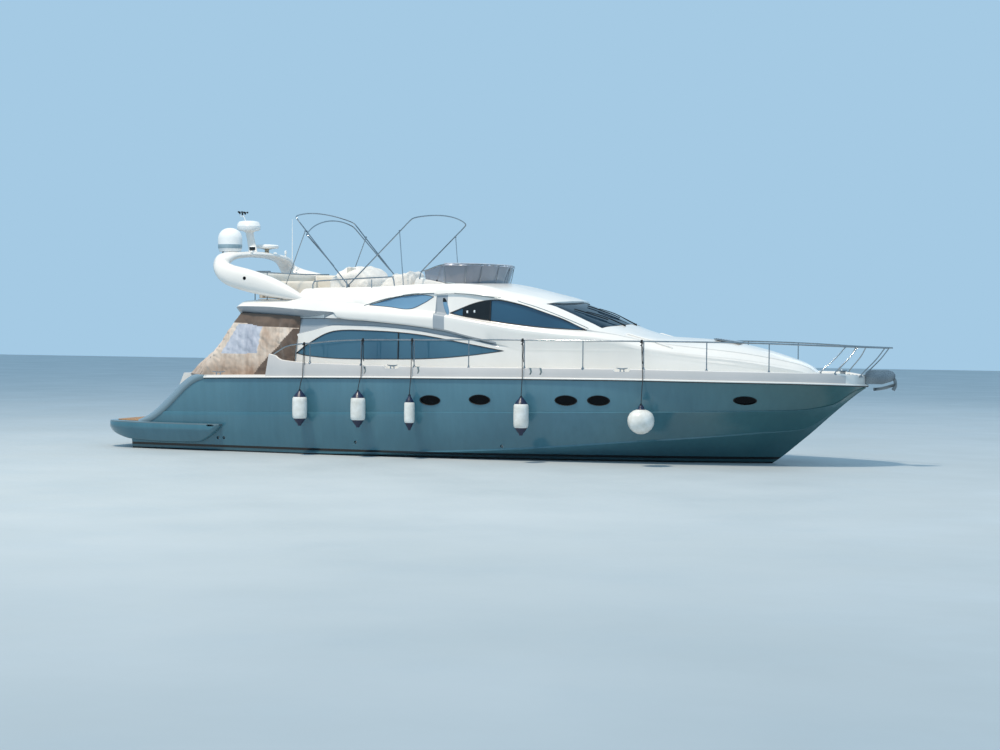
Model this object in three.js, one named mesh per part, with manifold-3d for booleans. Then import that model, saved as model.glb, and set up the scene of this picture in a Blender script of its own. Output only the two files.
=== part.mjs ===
// Flybridge motor yacht, afloat. Millimetres, bow along +X, port side along +Y, up along +Z.
// The origin is on the centreline, at the waterline, midway between the two ends of the hull.
import * as THREE from 'three';
import { mergeVertices } from 'three/addons/utils/BufferGeometryUtils.js';
import Module from 'manifold-3d';

const wasm = await Module();
wasm.setup();

// Driving dimensions
const TRANSOM_X = -7750;
const PLATFORM_AFT_X = -8500;
const STEM_X = 8460;
const SOLE_Z = 1120;
const SOLE_THICK = 30;
const WELL_HALF = 1720;
const COCKPIT_X = [-6850, -3950];
const SALOON_X = [-3890, 2250];
const DECK_RISE = 100;
const PLATFORM_Z = 610;
const WALL = 60;
const SEAM = 0.3;
const FLY_FLOOR_Z = 3120;
const FLY_UNDER_Z = 2960;
const HELM_Y = -800;
const HOUSE_BASE_Z = 1760;
const GLAZED_END_X = 4300;

const SHAFT = { y: 760, aftX: -6760, aftZ: -985, slope: 0.2, logX: -4650, radius: 25 };
const PROP = { radius: 350, hub: 62, blades: 4, x: -6640 };
const RUDDER = { x: -7340, y: 760, bossZ: -470, bladeTop: -500, bladeFoot: -1230 };
const BIMINI = { pivotX: -2620, pivotZ: 3675, tube: 12.5 };

const COLOURS = {
  gelcoat: 0xf2efe8, hull: 0xdfe3e2, glass: 0x1c2a33, steel: 0xc9ccce, teak: 0xb98a58, canvas: 0xb89a7c,
  cushion: 0xe6dcc6, rubber: 0x2a2c30, bronze: 0xa9824a, engine: 0x8d9196, fender: 0xf0f0ee,
};

// Stations of the hull. Columns: x, keel z, chine half width, chine z, knuckle half width, knuckle z,
// rail half width, rail z.
const HULL = [
  [TRANSOM_X, -520, 1990, -60, 2110, 835, 2150, 1600],
  [-6400, -590, 2050, -50, 2180, 845, 2225, 1620],
  [-5000, -650, 2085, -30, 2235, 870, 2290, 1650],
  [-2500, -725, 2110, 20, 2300, 930, 2355, 1695],
  [0, -755, 2030, 130, 2280, 990, 2345, 1725],
  [2000, -735, 1860, 260, 2185, 1030, 2270, 1745],
  [3800, -640, 1530, 410, 1960, 1070, 2080, 1752],
  [5200, -440, 1170, 520, 1680, 1100, 1860, 1742],
  [6400, -60, 720, 630, 1270, 1125, 1530, 1730],
  [7200, 540, 300, 720, 790, 1140, 1200, 1718],
  [7850, 1120, 60, 1150, 330, 1260, 840, 1700],
  [8300, 1500, 20, 1515, 130, 1570, 400, 1680],
  [STEM_X, 1610, 8, 1620, 26, 1640, 60, 1668],
];

// Height of the toe rail's top over the hull's rail. Columns: x, height.
const TOE_RAIL = [
  [-5800, 52], [-4230, 52], [-4190, 500], [-4080, 515], [-3860, 380], [-2600, 290], [0, 228], [5200, 215],
  [7200, 212], [7850, 228], [8300, 205], [8460, 190],
];

// Deckhouse, half outline at each station. Columns: x, base half width, wall half width and z at the top
// of the window, ledge half width and z, foot half width of the upper tier, gutter half width and z,
// roof edge half width and z, and roof z on the centreline.
const HOUSE = [
  [-3950, 1880, 1850, 2780, 1840, 2900, 1800, 1780, 2948, 1300, 2953, 2956],
  [-2600, 1900, 1870, 2780, 1860, 2900, 1810, 1790, 2948, 1300, 2953, 2956],
  [-1000, 1905, 1880, 2700, 1870, 2880, 1820, 1790, 2948, 1300, 2953, 2956],
  [-420, 1900, 1880, 2610, 1880, 2860, 1820, 1790, 2948, 1300, 2953, 2956],
  [-400, 1900, 1880, 2605, 1935, 3085, 1790, 1745, 3495, 1300, 3500, 3500],
  [0, 1890, 1875, 2540, 1925, 3025, 1785, 1740, 3515, 1300, 3520, 3522],
  [670, 1860, 1850, 2430, 1900, 2915, 1760, 1715, 3455, 1300, 3490, 3505],
  [1490, 1800, 1800, 2330, 1850, 2795, 1720, 1665, 3290, 1300, 3385, 3450],
  [2050, 1740, 1740, 2290, 1800, 2730, 1690, 1630, 3110, 1300, 3295, 3395],
  [2400, 1700, 1700, 2270, 1760, 2695, 1670, 1610, 2995, 1250, 3180, 3315],
  [2960, 1630, 1630, 2240, 1690, 2650, 1600, 1570, 2760, 1200, 2960, 3085],
  [3500, 1550, 1555, 2200, 1590, 2580, 1500, 1400, 2665, 900, 2770, 2845],
  [4260, 1430, 1420, 2150, 1410, 2400, 1320, 1200, 2510, 700, 2600, 2640],
  [5200, 1260, 1240, 2110, 1190, 2290, 1100, 980, 2400, 600, 2530, 2585],
  [6000, 1040, 1010, 2070, 940, 2210, 860, 760, 2310, 450, 2430, 2470],
  [6870, 700, 670, 2000, 600, 2070, 540, 460, 2150, 250, 2215, 2232],
  [7290, 440, 410, 1940, 360, 1980, 320, 270, 2030, 150, 2060, 2070],
  [7460, 250, 230, 1885, 205, 1895, 180, 150, 1905, 80, 1915, 1920],
];

// Flybridge tray. Columns: x, under edge half width, lip half width, lip z, shoulder half width, shoulder z,
// coaming top half width, coaming top z.
const TRAY = [
  [-5200, 1500, 1640, 3190, 1560, 3250, 1480, 3262],
  [-5060, 1640, 1800, 3160, 1720, 3312, 1560, 3330],
  [-4500, 1760, 1925, 3120, 1830, 3335, 1640, 3362],
  [-3900, 1790, 1950, 3110, 1850, 3330, 1640, 3380],
  [-3600, 1795, 1955, 3110, 1850, 3325, 1630, 3610],
  [-1900, 1800, 1955, 3060, 1850, 3225, 1620, 3652],
  [-900, 1800, 1950, 3010, 1840, 3130, 1620, 3705],
  [-430, 1800, 1940, 2985, 1835, 3085, 1620, 3718],
];

// Dash and brow over the wheelhouse. Columns: x, edge half width, edge z, top half width, top z, centre z.
const BROW = [
  [-470, 1735, 3420, 1620, 3718, 3735],
  [0, 1730, 3420, 1615, 3725, 3745],
  [980, 1690, 3400, 1560, 3728, 3760],
  [1660, 1600, 3345, 1440, 3575, 3630],
  [2000, 1480, 3300, 1290, 3430, 3490],
  [2300, 1200, 3285, 1040, 3325, 3365],
  [2420, 900, 3270, 780, 3290, 3315],
];

const WINDOWS = {
  saloon: [[-3700, 2190], [-3360, 2430], [-2790, 2690], [-1890, 2700], [-800, 2630], [260, 2460],
    [1170, 2300], [370, 2190], [-510, 2115], [-1520, 2090], [-2620, 2085], [-3360, 2130]],
  wheelhouse: [[-100, 3090], [440, 3300], [810, 3370], [1130, 3350], [1830, 3180], [2510, 2930], [2920, 2750],
    [1870, 2810], [810, 2930], [210, 3020]],
  windscreen: [[1990, -1330], [3000, -1370], [3250, -900], [3390, 0], [3250, 900], [3000, 1370], [1990, 1330],
    [2330, 700], [2400, 0], [2330, -700]],
};

// The value of column `key` of a station table at x, by straight lines between its rows.
function at(table, key, x) {
  const next = table.findIndex((row) => row[0] >= x);
  if (next === 0) return table[0][key];
  if (next < 0) return table[table.length - 1][key];
  const [a, b] = [table[next - 1], table[next]];
  return THREE.MathUtils.mapLinear(x, a[0], b[0], a[key], b[key]);
}

// Signed area of a flat outline.
function area(points) {
  return THREE.ShapeUtils.area(points);
}

// Two coordinates of each point of a nearly flat ring, leaving out the one that its face looks along.
function flatten(ring) {
  const normal = new THREE.Vector3();
  ring.forEach((p, i) => {
    const q = ring[(i + 1) % ring.length];
    normal.x += (p[1] - q[1]) * (p[2] + q[2]);
    normal.y += (p[2] - q[2]) * (p[0] + q[0]);
    normal.z += (p[0] - q[0]) * (p[1] + q[1]);
  });
  const size = [Math.abs(normal.x), Math.abs(normal.y), Math.abs(normal.z)];
  const drop = size.indexOf(Math.max(...size));
  const keep = [0, 1, 2].filter((axis) => axis !== drop);
  return ring.map((p) => new THREE.Vector2(p[keep[0]], p[keep[1]]));
}

// Triangles that close one end of a loft.
function capFaces(ring, offset, reversed) {
  const flat = flatten(ring);
  const turn = Math.sign(area(flat)) * (reversed ? -1 : 1);
  return THREE.ShapeUtils.triangulateShape(flat, []).flatMap((face) => {
    const same = Math.sign(area(face.map((i) => flat[i]))) === turn;
    const ordered = same ? face : [...face].reverse();
    return ordered.map((i) => i + offset);
  });
}

// A closed geometry through rings of points, all with the same count.
function loft(rings) {
  const n = rings[0].length;
  const index = capFaces(rings[0], 0, true);
  for (let r = 0; r < rings.length - 1; r += 1) {
    for (let i = 0; i < n; i += 1) {
      const a = r * n + i;
      const b = r * n + ((i + 1) % n);
      index.push(a, b, b + n, a, b + n, a + n);
    }
  }
  index.push(...capFaces(rings[rings.length - 1], (rings.length - 1) * n, false));
  const geometry = new THREE.BufferGeometry();
  geometry.setAttribute('position', new THREE.Float32BufferAttribute(rings.flat(2), 3));
  geometry.setIndex(volume(rings.flat(), index) < 0 ? index.reverse() : index);
  return geometry;
}

// Six times the signed volume inside a set of triangles.
function volume(points, index) {
  let sum = 0;
  for (let i = 0; i < index.length; i += 3) {
    const [a, b, c] = [0, 1, 2].map((k) => new THREE.Vector3(...points[index[i + k]]));
    sum += a.dot(b.cross(c));
  }
  return sum;
}

// A ring across the boat at x, from a half outline that starts on the centreline below and ends on it above.
function crossRing(x, half) {
  const port = half.map(([y, z]) => [x, y, z]);
  const starboard = half.slice(1, -1).reverse().map(([y, z]) => [x, -y, z]);
  return [...port, ...starboard];
}

// An exact solid from a closed geometry.
function solid(geometry) {
  const bare = geometry.clone();
  ['normal', 'uv'].forEach((name) => bare.deleteAttribute(name));
  const merged = mergeVertices(bare, 1e-3);
  const positions = merged.attributes.position.array;
  const count = positions.length / 3;
  const points = Array.from({ length: count }, (_, i) => [...positions.slice(3 * i, 3 * i + 3)]);
  const index = [...merged.index.array];
  return new wasm.Manifold(new wasm.Mesh({
    numProp: 3,
    vertProperties: new Float32Array(positions),
    triVerts: new Uint32Array(volume(points, index) < 0 ? index.reverse() : index),
  }));
}

// A geometry from an exact solid.
function geometryOf(body) {
  const mesh = body.getMesh();
  const geometry = new THREE.BufferGeometry();
  geometry.setAttribute('position', new THREE.Float32BufferAttribute(mesh.vertProperties, 3));
  geometry.setIndex([...mesh.triVerts]);
  return geometry;
}

function join(bodies) {
  return bodies.reduce((a, b) => a.add(b));
}

function box([x0, x1], [y0, y1], [z0, z1]) {
  const geometry = new THREE.BoxGeometry(x1 - x0, y1 - y0, z1 - z0);
  return solid(geometry.translate((x0 + x1) / 2, (y0 + y1) / 2, (z0 + z1) / 2));
}

function extruded(points, depth) {
  const shape = new THREE.Shape(points.map(([a, b]) => new THREE.Vector2(a, b)));
  return new THREE.ExtrudeGeometry(shape, { depth, bevelEnabled: false });
}

// A slab with a plan outline, between two heights.
function planSlab(points, z0, z1) {
  return solid(extruded(points, z1 - z0).translate(0, 0, z0));
}

// A slab with a side outline of x and z, between two distances from the centreline.
function sideSlab(points, y0, y1) {
  return solid(extruded(points, y1 - y0).rotateX(Math.PI / 2).translate(0, y1, 0));
}

// An outline moved inwards by a distance.
function shrunk(points, by) {
  const turn = Math.sign(area(points.map(([a, b]) => new THREE.Vector2(a, b))));
  const edges = points.map(([a, b], i) => {
    const [c, d] = points[(i + 1) % points.length];
    const long = Math.hypot(c - a, d - b);
    const [nx, ny] = [(-(d - b) / long) * turn, ((c - a) / long) * turn];
    return { a: a + nx * by, b: b + ny * by, dx: c - a, dy: d - b };
  });
  return edges.map((edge, i) => {
    const before = edges[(i + edges.length - 1) % edges.length];
    const cross = before.dx * edge.dy - before.dy * edge.dx;
    const t = ((edge.a - before.a) * edge.dy - (edge.b - before.b) * edge.dx) / cross;
    return [before.a + before.dx * t, before.b + before.dy * t];
  });
}

// A round bar along a path of points; a bent path is rounded where `bend` is set.
function tube(points, radius, { sides = 8, steps = 1, curved = false } = {}) {
  const places = points.map((p) => new THREE.Vector3(...p));
  const path = curved ? new THREE.CatmullRomCurve3(places, false, 'centripetal') : polyline(places);
  const section = new THREE.Shape();
  for (let i = 0; i < sides; i += 1) {
    const angle = (2 * Math.PI * (i + 0.5)) / sides;
    const p = new THREE.Vector2(radius * Math.cos(angle), radius * Math.sin(angle));
    if (i === 0) section.moveTo(p.x, p.y);
    else section.lineTo(p.x, p.y);
  }
  const count = curved ? steps : places.length - 1;
  return new THREE.ExtrudeGeometry(section, { steps: count, extrudePath: path });
}

// A path of straight stretches in which each step is one stretch.
function polyline(places) {
  const path = new THREE.CurvePath();
  for (let i = 0; i < places.length - 1; i += 1) path.add(new THREE.LineCurve3(places[i], places[i + 1]));
  if (places.length > 2) {
    path.getPointAt = (t) => places[Math.round(t * (places.length - 1))].clone();
    path.getTangentAt = (t) => bisector(places, Math.round(t * (places.length - 1)));
  }
  return path;
}

function bisector(places, i) {
  const ahead = places[Math.min(i + 1, places.length - 1)].clone().sub(places[i]).normalize();
  const behind = places[i].clone().sub(places[Math.max(i - 1, 0)]).normalize();
  return ahead.add(behind).normalize();
}

// A solid through rings that are oval about a path. Columns: place, tangent, side direction, half width and
// half height.
function ovalSweep(rows, sides = 10) {
  const rings = rows.map(([place, tangent, side, wide, high]) => {
    const t = new THREE.Vector3(...tangent).normalize();
    const s = new THREE.Vector3(...side).normalize();
    const up = t.clone().cross(s).normalize();
    return Array.from({ length: sides }, (_, i) => {
      const angle = (2 * Math.PI * i) / sides;
      return new THREE.Vector3(...place)
        .addScaledVector(s, wide * Math.cos(angle))
        .addScaledVector(up, high * Math.sin(angle))
        .toArray();
    });
  });
  return solid(loft(rings));
}

// A turned solid about a vertical axis. The profile is a list of radius and height.
function turned(profile, [x, y], segments = 20) {
  const geometry = new THREE.LatheGeometry(profile.map(([r, z]) => new THREE.Vector2(r, z)), segments);
  return solid(geometry.rotateX(Math.PI / 2).translate(x, y, 0));
}

const yacht = new THREE.Group();

function place(name, shape, colour, roughness = 0.35, metalness = 0) {
  const geometry = shape.isBufferGeometry ? shape : geometryOf(shape);
  const material = new THREE.MeshStandardMaterial({ color: colour, roughness, metalness });
  const mesh = new THREE.Mesh(geometry, material);
  mesh.name = name;
  yacht.add(mesh);
}

// Hull, solid where it is decked, with its wells cut out

// The outer form, made larger all round by `grow`.
function hullForm(grow) {
  const rows = HULL.map((row, i) => (i === 0 ? [row[0] - grow, ...row.slice(1)] : row));
  return solid(loft(rows.map(([x, keelZ, chineY, chineZ, kneeY, kneeZ, railY, railZ]) => crossRing(x, [
    [0, keelZ - grow],
    [chineY + grow, chineZ - grow],
    [kneeY + grow, kneeZ],
    [railY + grow, railZ],
    [0, railZ],
  ]))));
}

function sternCuts() {
  const quarter = [[-5800, 1700], [-5800, 1632], [-6000, 1560], [-6250, 1400], [-6560, 1130], [-6900, 850],
    [-7200, 665], [-7540, 560], [-7900, 560], [-7900, 1700]];
  const stairs = [[-5800, 1700], [-5800, SOLE_Z - SOLE_THICK], [-6850, SOLE_Z - SOLE_THICK], [-6850, 840],
    [-7180, 840], [-7180, 560], [-7900, 560], [-7900, 1700]];
  return [
    sideSlab(quarter, WELL_HALF - 1, 2600),
    sideSlab(quarter, -2600, 1 - WELL_HALF),
    sideSlab(stairs, -WELL_HALF, WELL_HALF),
  ];
}

const ENGINE_BAY = { x: [-4900, -2000], y: [-1250, 1250], z: [-100, SOLE_Z - SOLE_THICK] };
const DOORWAY_Y = [-700, 300];

function wells() {
  const floor = [SOLE_Z - SOLE_THICK, 2600];
  return [
    box(COCKPIT_X, [-WELL_HALF, WELL_HALF], floor),
    box(SALOON_X, [-WELL_HALF + 60, WELL_HALF - 60], floor),
    box([COCKPIT_X[1] - 1, SALOON_X[0] + 1], DOORWAY_Y, floor),
    box(ENGINE_BAY.x, ENGINE_BAY.y, [ENGINE_BAY.z[0], SOLE_Z]),
  ];
}

function shaftPoint(x, side) {
  return [x, side * SHAFT.y, SHAFT.aftZ + (x - SHAFT.aftX) * SHAFT.slope];
}

function shaftBar(x0, x1, radius, side, sides = 16) {
  return solid(tube([shaftPoint(x0, side), shaftPoint(x1, side)], radius, { sides }));
}

function hull() {
  const bosses = [-1, 1].flatMap((side) => [
    shaftBar(SHAFT.logX, -3500, 58, side, 12),
    turned([[0, -200], [48, -200], [48, RUDDER.bossZ], [0, RUDDER.bossZ]], [RUDDER.x, side * RUDDER.y], 12),
  ]);
  const bores = [-1, 1].map((side) => shaftBar(SHAFT.logX - 20, SHAFT.logX + 90, SHAFT.radius + 0.9, side));
  let body = join([hullForm(0), ...bosses]);
  [...sternCuts(), ...wells(), ...bores].forEach((cut) => {
    body = body.subtract(cut);
  });
  return body;
}

// Deck moulding with its toe rail and side decks

function deckStations() {
  const xs = [...TOE_RAIL.map((row) => row[0]), ...HULL.map((row) => row[0])];
  return [...new Set(xs)].filter((x) => x >= TOE_RAIL[0][0]).sort((a, b) => a - b);
}

function deckForm() {
  const rows = deckStations().map((x) => {
    const [half, railZ, rise] = [at(HULL, 6, x), at(HULL, 7, x), at(TOE_RAIL, 1, x)];
    const base = railZ + SEAM;
    const floor = railZ + Math.min(DECK_RISE, rise - 6);
    const top = railZ + rise;
    return crossRing(x, [
      [0, base], [half, base], [half - Math.min(half, 30) * 0.6, top],
      [Math.max(half - 115, half * 0.5), top], [Math.max(half - 130, half * 0.45), floor],
      [0, floor + Math.min(30, half * 0.05)],
    ]);
  });
  return solid(loft(rows));
}

function deck() {
  let body = deckForm().subtract(box([-6000, COCKPIT_X[1]], [-WELL_HALF, WELL_HALF], [1500, 2400]));
  body = body.subtract(houseCavity());
  return body.subtract(box([COCKPIT_X[1] - 1, SALOON_X[0] + 1], DOORWAY_Y, [1500, 2400]));
}

function rubRail() {
  const xs = [-5790, -5000, -3600, -2500, -1000, 0, 1000, 2000, 3000, 3800, 4500, 5200, 5800, 6400, 6800,
    7200, 7550, 7850, 8100, 8300, 8440];
  const side = xs.map((x) => [x, at(HULL, 6, x), at(HULL, 7, x)]);
  const path = [...side.map(([x, y, z]) => [x, -y, z]), [8490, 0, 1666], ...side.reverse()];
  const rings = path.map(([x, y, z], i) => {
    const before = path[Math.max(i - 1, 0)];
    const after = path[Math.min(i + 1, path.length - 1)];
    const along = new THREE.Vector2(after[0] - before[0], after[1] - before[1]).normalize();
    const [ox, oy] = [along.y, -along.x];
    const section = [[0.6, -24], [34, -18], [34, 12], [0.6, 18]];
    return section.map(([out, up]) => [x + ox * out, y + oy * out, z + up]);
  });
  const sheer = solid(loft(deckStations().map((x) => {
    const [half, z] = [at(HULL, 6, x) + SEAM, at(HULL, 7, x)];
    return crossRing(x, [[0, z - 10], [half, z - 10], [half, z + 60], [0, z + 60]]);
  })));
  return solid(loft(rings)).subtract(hullForm(SEAM)).subtract(sheer);
}

// Bathing platform, with a wing along each side of the hull

function swimPlatform() {
  // Columns: x, half width, bottom z, bottom half width.
  const rows = [
    [PLATFORM_AFT_X, 1700, 420, 1600], [-8380, 1960, 350, 1850], [-8100, 2130, 265, 2000],
    [-7700, 2230, 200, 2120],
    [-6800, 2320, 170, 2190], [-6000, 2370, 185, 2230], [-5650, 2385, 320, 2300], [-5350, 2370, 560, 2330],
  ];
  const body = solid(loft(rows.map(([x, half, foot, footHalf]) => crossRing(x, [
    [0, foot], [footHalf, foot], [half, Math.min(Math.max(foot + 90, 470), PLATFORM_Z - 20)],
    [half - 12, PLATFORM_Z], [0, PLATFORM_Z],
  ]))));
  const cuts = sternCuts().map((cut) => cut.translate([-SEAM, 0, SEAM]));
  const stern = cuts.reduce((form, cut) => form.subtract(cut), hullForm(SEAM));
  return body.subtract(stern).subtract(box([-7400, -5000], [-2000, 2000], [0, 1200]));
}

function platformTeak() {
  const outline = [[-8360, -1600], [-8360, 1600], [-8200, 1860], [-7830, 1960], [-7600, 1960], [-7600, -1960],
    [-7830, -1960], [-8200, -1860]];
  return planSlab(outline, PLATFORM_Z + SEAM, PLATFORM_Z + 14);
}

// Deckhouse

// The outer form moved inwards by `inset`; a negative inset moves it outwards.
function houseForm(inset) {
  const rows = HOUSE.filter((row) => inset <= 0 || row[0] < GLAZED_END_X);
  return solid(loft(rows.map((row, i) => {
    const [x, baseY, wallY, wallZ, ledgeY, ledgeZ, footY, gutterY, gutterZ, roofY, roofZ, crownZ] = row;
    const foot = HOUSE_BASE_Z + (inset < 0 ? inset : 0);
    return crossRing(i === 0 ? x + inset : x, [
      [0, foot], [baseY - inset, foot], [wallY - inset, wallZ], [ledgeY - inset, ledgeZ],
      [footY - inset, ledgeZ + 18], [gutterY - inset, gutterZ - inset], [roofY - inset, roofZ - inset],
      [0, crownZ - inset],
    ]);
  })));
}

function houseCavity() {
  const room = box(SALOON_X, [-WELL_HALF + 60, WELL_HALF - 60], [1000, 4000]);
  const underGlass = planSlab([[2000, -1560], [2500, -1540], [3050, -1440], [3300, -900], [3420, 0],
    [3300, 900], [3050, 1440], [2500, 1540], [2000, 1560]], 2300, 4000);
  const below = box(SALOON_X, [-WELL_HALF + 60, WELL_HALF - 60], [1000, 2000]);
  return join([room, underGlass]).intersect(join([houseForm(WALL), below]));
}

function windowCutters(by) {
  return {
    saloon: sideSlab(shrunk(WINDOWS.saloon, by), -2500, 2500),
    wheelhouse: sideSlab(shrunk(WINDOWS.wheelhouse, by), -2500, 2500),
    windscreen: planSlab(shrunk(WINDOWS.windscreen, by), 2500, 4000),
  };
}

function deckhouse() {
  const cut = windowCutters(0);
  const sides = [[-2500, -1500], [1500, 2500]].map((y) => box([-5000, 5000], y, [1500, 4000]));
  const openings = join([cut.saloon, cut.wheelhouse]).intersect(join(sides));
  return houseForm(0)
    .subtract(deckForm().translate([0, 0, SEAM]))
    .subtract(houseCavity())
    .subtract(openings)
    .subtract(cut.windscreen)
    .subtract(box([COCKPIT_X[1] - 10, SALOON_X[0] + 10], DOORWAY_Y, [1000, 2860]))
    .subtract(box([COCKPIT_X[1] - 10, SALOON_X[0] + 10], [480, 1480], [1950, 2800]));
}

function glazing() {
  const cut = windowCutters(0.4);
  const pane = houseForm(10).subtract(houseForm(24));
  ['saloon', 'wheelhouse'].forEach((name) => {
    [['starboard', [-2500, -1500]], ['port', [1500, 2500]]].forEach(([side, y]) => {
      const piece = pane.intersect(cut[name]).intersect(box([-5000, 5000], y, [1500, 4000]));
      place(`${name}_window_${side}`, piece, COLOURS.glass, 0.08);
    });
  });
  place('windscreen', pane.intersect(cut.windscreen), COLOURS.glass, 0.08);
  place('saloon_aft_window', box([-3925, -3905], [480.4, 1479.6], [1950.4, 2799.6]), COLOURS.glass, 0.08);
}

// Soles, engines and the transom

const HATCH = { x: [-4780, -4060], y: 420, gap: 6 };

function cockpitSole() {
  const z = [SOLE_Z - SOLE_THICK + SEAM, SOLE_Z];
  const half = WELL_HALF - SEAM;
  return box([COCKPIT_X[0] + SEAM, COCKPIT_X[1] - SEAM], [-half, half], z)
    .subtract(box(HATCH.x, [-HATCH.y, HATCH.y], [0, 2000]));
}

function engineHatch() {
  const half = HATCH.y - HATCH.gap;
  return box([HATCH.x[0] + HATCH.gap, HATCH.x[1] - 0.4], [-half, half], [SOLE_Z - SOLE_THICK + 2, SOLE_Z]);
}

function saloonSole() {
  const z = [SOLE_Z - SOLE_THICK + SEAM, SOLE_Z];
  const half = WELL_HALF - 60 - SEAM;
  const sill = box([COCKPIT_X[1] + SEAM, SALOON_X[0] + 5], [DOORWAY_Y[0] + SEAM, DOORWAY_Y[1] - SEAM], z);
  return box([SALOON_X[0] + SEAM, SALOON_X[1] - SEAM], [-half, half], z).add(sill);
}

// Side outline of the locker at the transom, with the cockpit bench on its forward side.
const LOCKER = { half: 1080, aftFoot: [-7390, 700], aftTop: [-6980, 1690] };
const LOCKER_OUTLINE = [
  [-7390, PLATFORM_Z + SEAM], [-7181, PLATFORM_Z + SEAM], [-7181, 840 + SEAM], [-6851, 840 + SEAM],
  [-6851, SOLE_Z + SEAM], [-5980, SOLE_Z + SEAM], [-5980, 1480], [-6480, 1480], [-6560, 1690],
  LOCKER.aftTop, LOCKER.aftFoot,
];

// A point at a distance along the locker's sloping aft face and a depth below it.
function onAftFace(along, depth) {
  const [[x0, z0], [x1, z1]] = [LOCKER.aftFoot, LOCKER.aftTop];
  const long = Math.hypot(x1 - x0, z1 - z0);
  const [dx, dz] = [(x1 - x0) / long, (z1 - z0) / long];
  return [x0 + dx * along + dz * depth, z0 + dz * along - dx * depth];
}

const TRANSOM_DOOR = { along: [120, 950], half: 880, thick: 30 };

function transomLocker() {
  const [low, high] = TRANSOM_DOOR.along;
  const mouth = [onAftFace(low, -40), onAftFace(low, 140), onAftFace(high, 140), onAftFace(high, -40)];
  const room = [[-7050, 900], [-6895, 900], [-6880, 1160], [-6250, 1160], [-6250, 1400], [-6560, 1400],
    [-6640, 1610], [-6880, 1610]];
  return sideSlab(LOCKER_OUTLINE, -LOCKER.half, LOCKER.half)
    .subtract(sideSlab(mouth, -TRANSOM_DOOR.half, TRANSOM_DOOR.half))
    .subtract(sideSlab(room, -TRANSOM_DOOR.half - 100, TRANSOM_DOOR.half + 100));
}

function transomDoor() {
  const [low, high] = [TRANSOM_DOOR.along[0] + 6, TRANSOM_DOOR.along[1] - 0.4];
  const half = TRANSOM_DOOR.half - 6;
  const outline = [onAftFace(low, 0), onAftFace(low, TRANSOM_DOOR.thick), onAftFace(high, TRANSOM_DOOR.thick),
    onAftFace(high, 0)];
  return sideSlab(outline, -half, half);
}

function cockpitBench() {
  const outline = [[-5985, 1480.5], [-5975, 1590], [-6370, 1600], [-6430, 1820], [-6515, 1812],
    [-6472, 1480.5]];
  return sideSlab(outline, -1000, 1000);
}

// Canvas round the cockpit, from the flybridge overhang down to the coaming

function cockpitCanvas() {
  const shell = (inset, front) => solid(loft([
    [1660 - inset * 3, 1925, -6035, -6880, 1000], [FLY_UNDER_Z - SEAM + inset * 3, 1890, -5110, -5150, 1000],
  ].map(([z, half, cornerX, aftX, aftHalf]) => [
    [front, -half + inset, z], [front, half - inset, z], [cornerX + inset, half - inset, z],
    [aftX + inset, aftHalf, z], [aftX + inset, -aftHalf, z], [cornerX + inset, -half + inset, z],
  ])));
  const lowerFront = [[-4350, 1500], [-4350, 2190], [-3700, 2400], [-3640, FLY_UNDER_Z], [-3500, FLY_UNDER_Z],
    [-3500, 1500]];
  return shell(0, -3640)
    .subtract(shell(22, -3400))
    .subtract(sideSlab(lowerFront, -2500, 2500))
    .subtract(deckForm().translate([0, 0, SEAM]))
    .subtract(box([-5800, -3500], [-2500, 2500], [1500, 1672]))
    .subtract(sideSlab(LOCKER_OUTLINE, -LOCKER.half - SEAM, LOCKER.half + SEAM).translate([0, 0, SEAM]))
    .subtract(houseForm(-SEAM))
    .subtract(hullForm(SEAM));
}

// Saloon

function saloonDoor() {
  const panel = box([-3884, -3860], [DOORWAY_Y[0] - 35, DOORWAY_Y[1] + 35], [SOLE_Z + 6, 2870]);
  const feet = [DOORWAY_Y[0] + 40, DOORWAY_Y[1] - 100].map((y) => (
    box([-3880, -3864], [y, y + 60], [SOLE_Z + 0.4, SOLE_Z + 10])));
  return join([panel, ...feet]);
}

function saloonSofa() {
  const outline = [[900, SOLE_Z + SEAM], [880, 1560], [1320, 1560], [1400, 1960], [1640, 1960],
    [1640, SOLE_Z + SEAM]];
  return solid(loft([-3300, -900].map((x) => outline.map(([y, z]) => [x, y, z]))));
}

function lowerHelm() {
  const outline = [[1500, SOLE_Z + SEAM], [1480, 1850], [1640, 2060], [2240, 2120], [2240, SOLE_Z + SEAM]];
  return sideSlab(outline, -1500, -300);
}

function lowerHelmSeat() {
  const outline = [[520, SOLE_Z + SEAM], [500, 1640], [430, 2240], [560, 2260], [640, 1760], [1080, 1740],
    [1080, 1640], [820, 1600], [800, SOLE_Z + SEAM]];
  return sideSlab(outline, -1250, -650);
}

// Flybridge moulding

function flybridge() {
  const tray = solid(loft(TRAY.map(([x, under, lip, lipZ, shoulder, shoulderZ, top, topZ]) => crossRing(x, [
    [0, FLY_UNDER_Z], [under, FLY_UNDER_Z], [lip, lipZ], [shoulder, shoulderZ], [top, topZ],
    [top - 190, topZ], [top - 205, FLY_FLOOR_Z], [0, FLY_FLOOR_Z],
  ]))));
  const brow = solid(loft(BROW.map(([x, edge, edgeZ, top, topZ, crownZ]) => crossRing(x, [
    [0, edgeZ], [edge, edgeZ], [top, topZ], [0, crownZ],
  ]))));
  const aftRim = box([-5195, -5090], [-1400, 1400], [FLY_FLOOR_Z - 20, 3262]);
  const lugs = [[1541.9, 1553], [1470, 1488.1], [-1553, -1541.9], [-1488.1, -1470]].map((y) => (
    box([BIMINI.pivotX - 22, BIMINI.pivotX + 22], y, [3600, BIMINI.pivotZ + 24])));
  return join([tray, brow, aftRim, ...lugs]).subtract(houseForm(-SEAM));
}

const FLY_BODY = flybridge();

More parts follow.
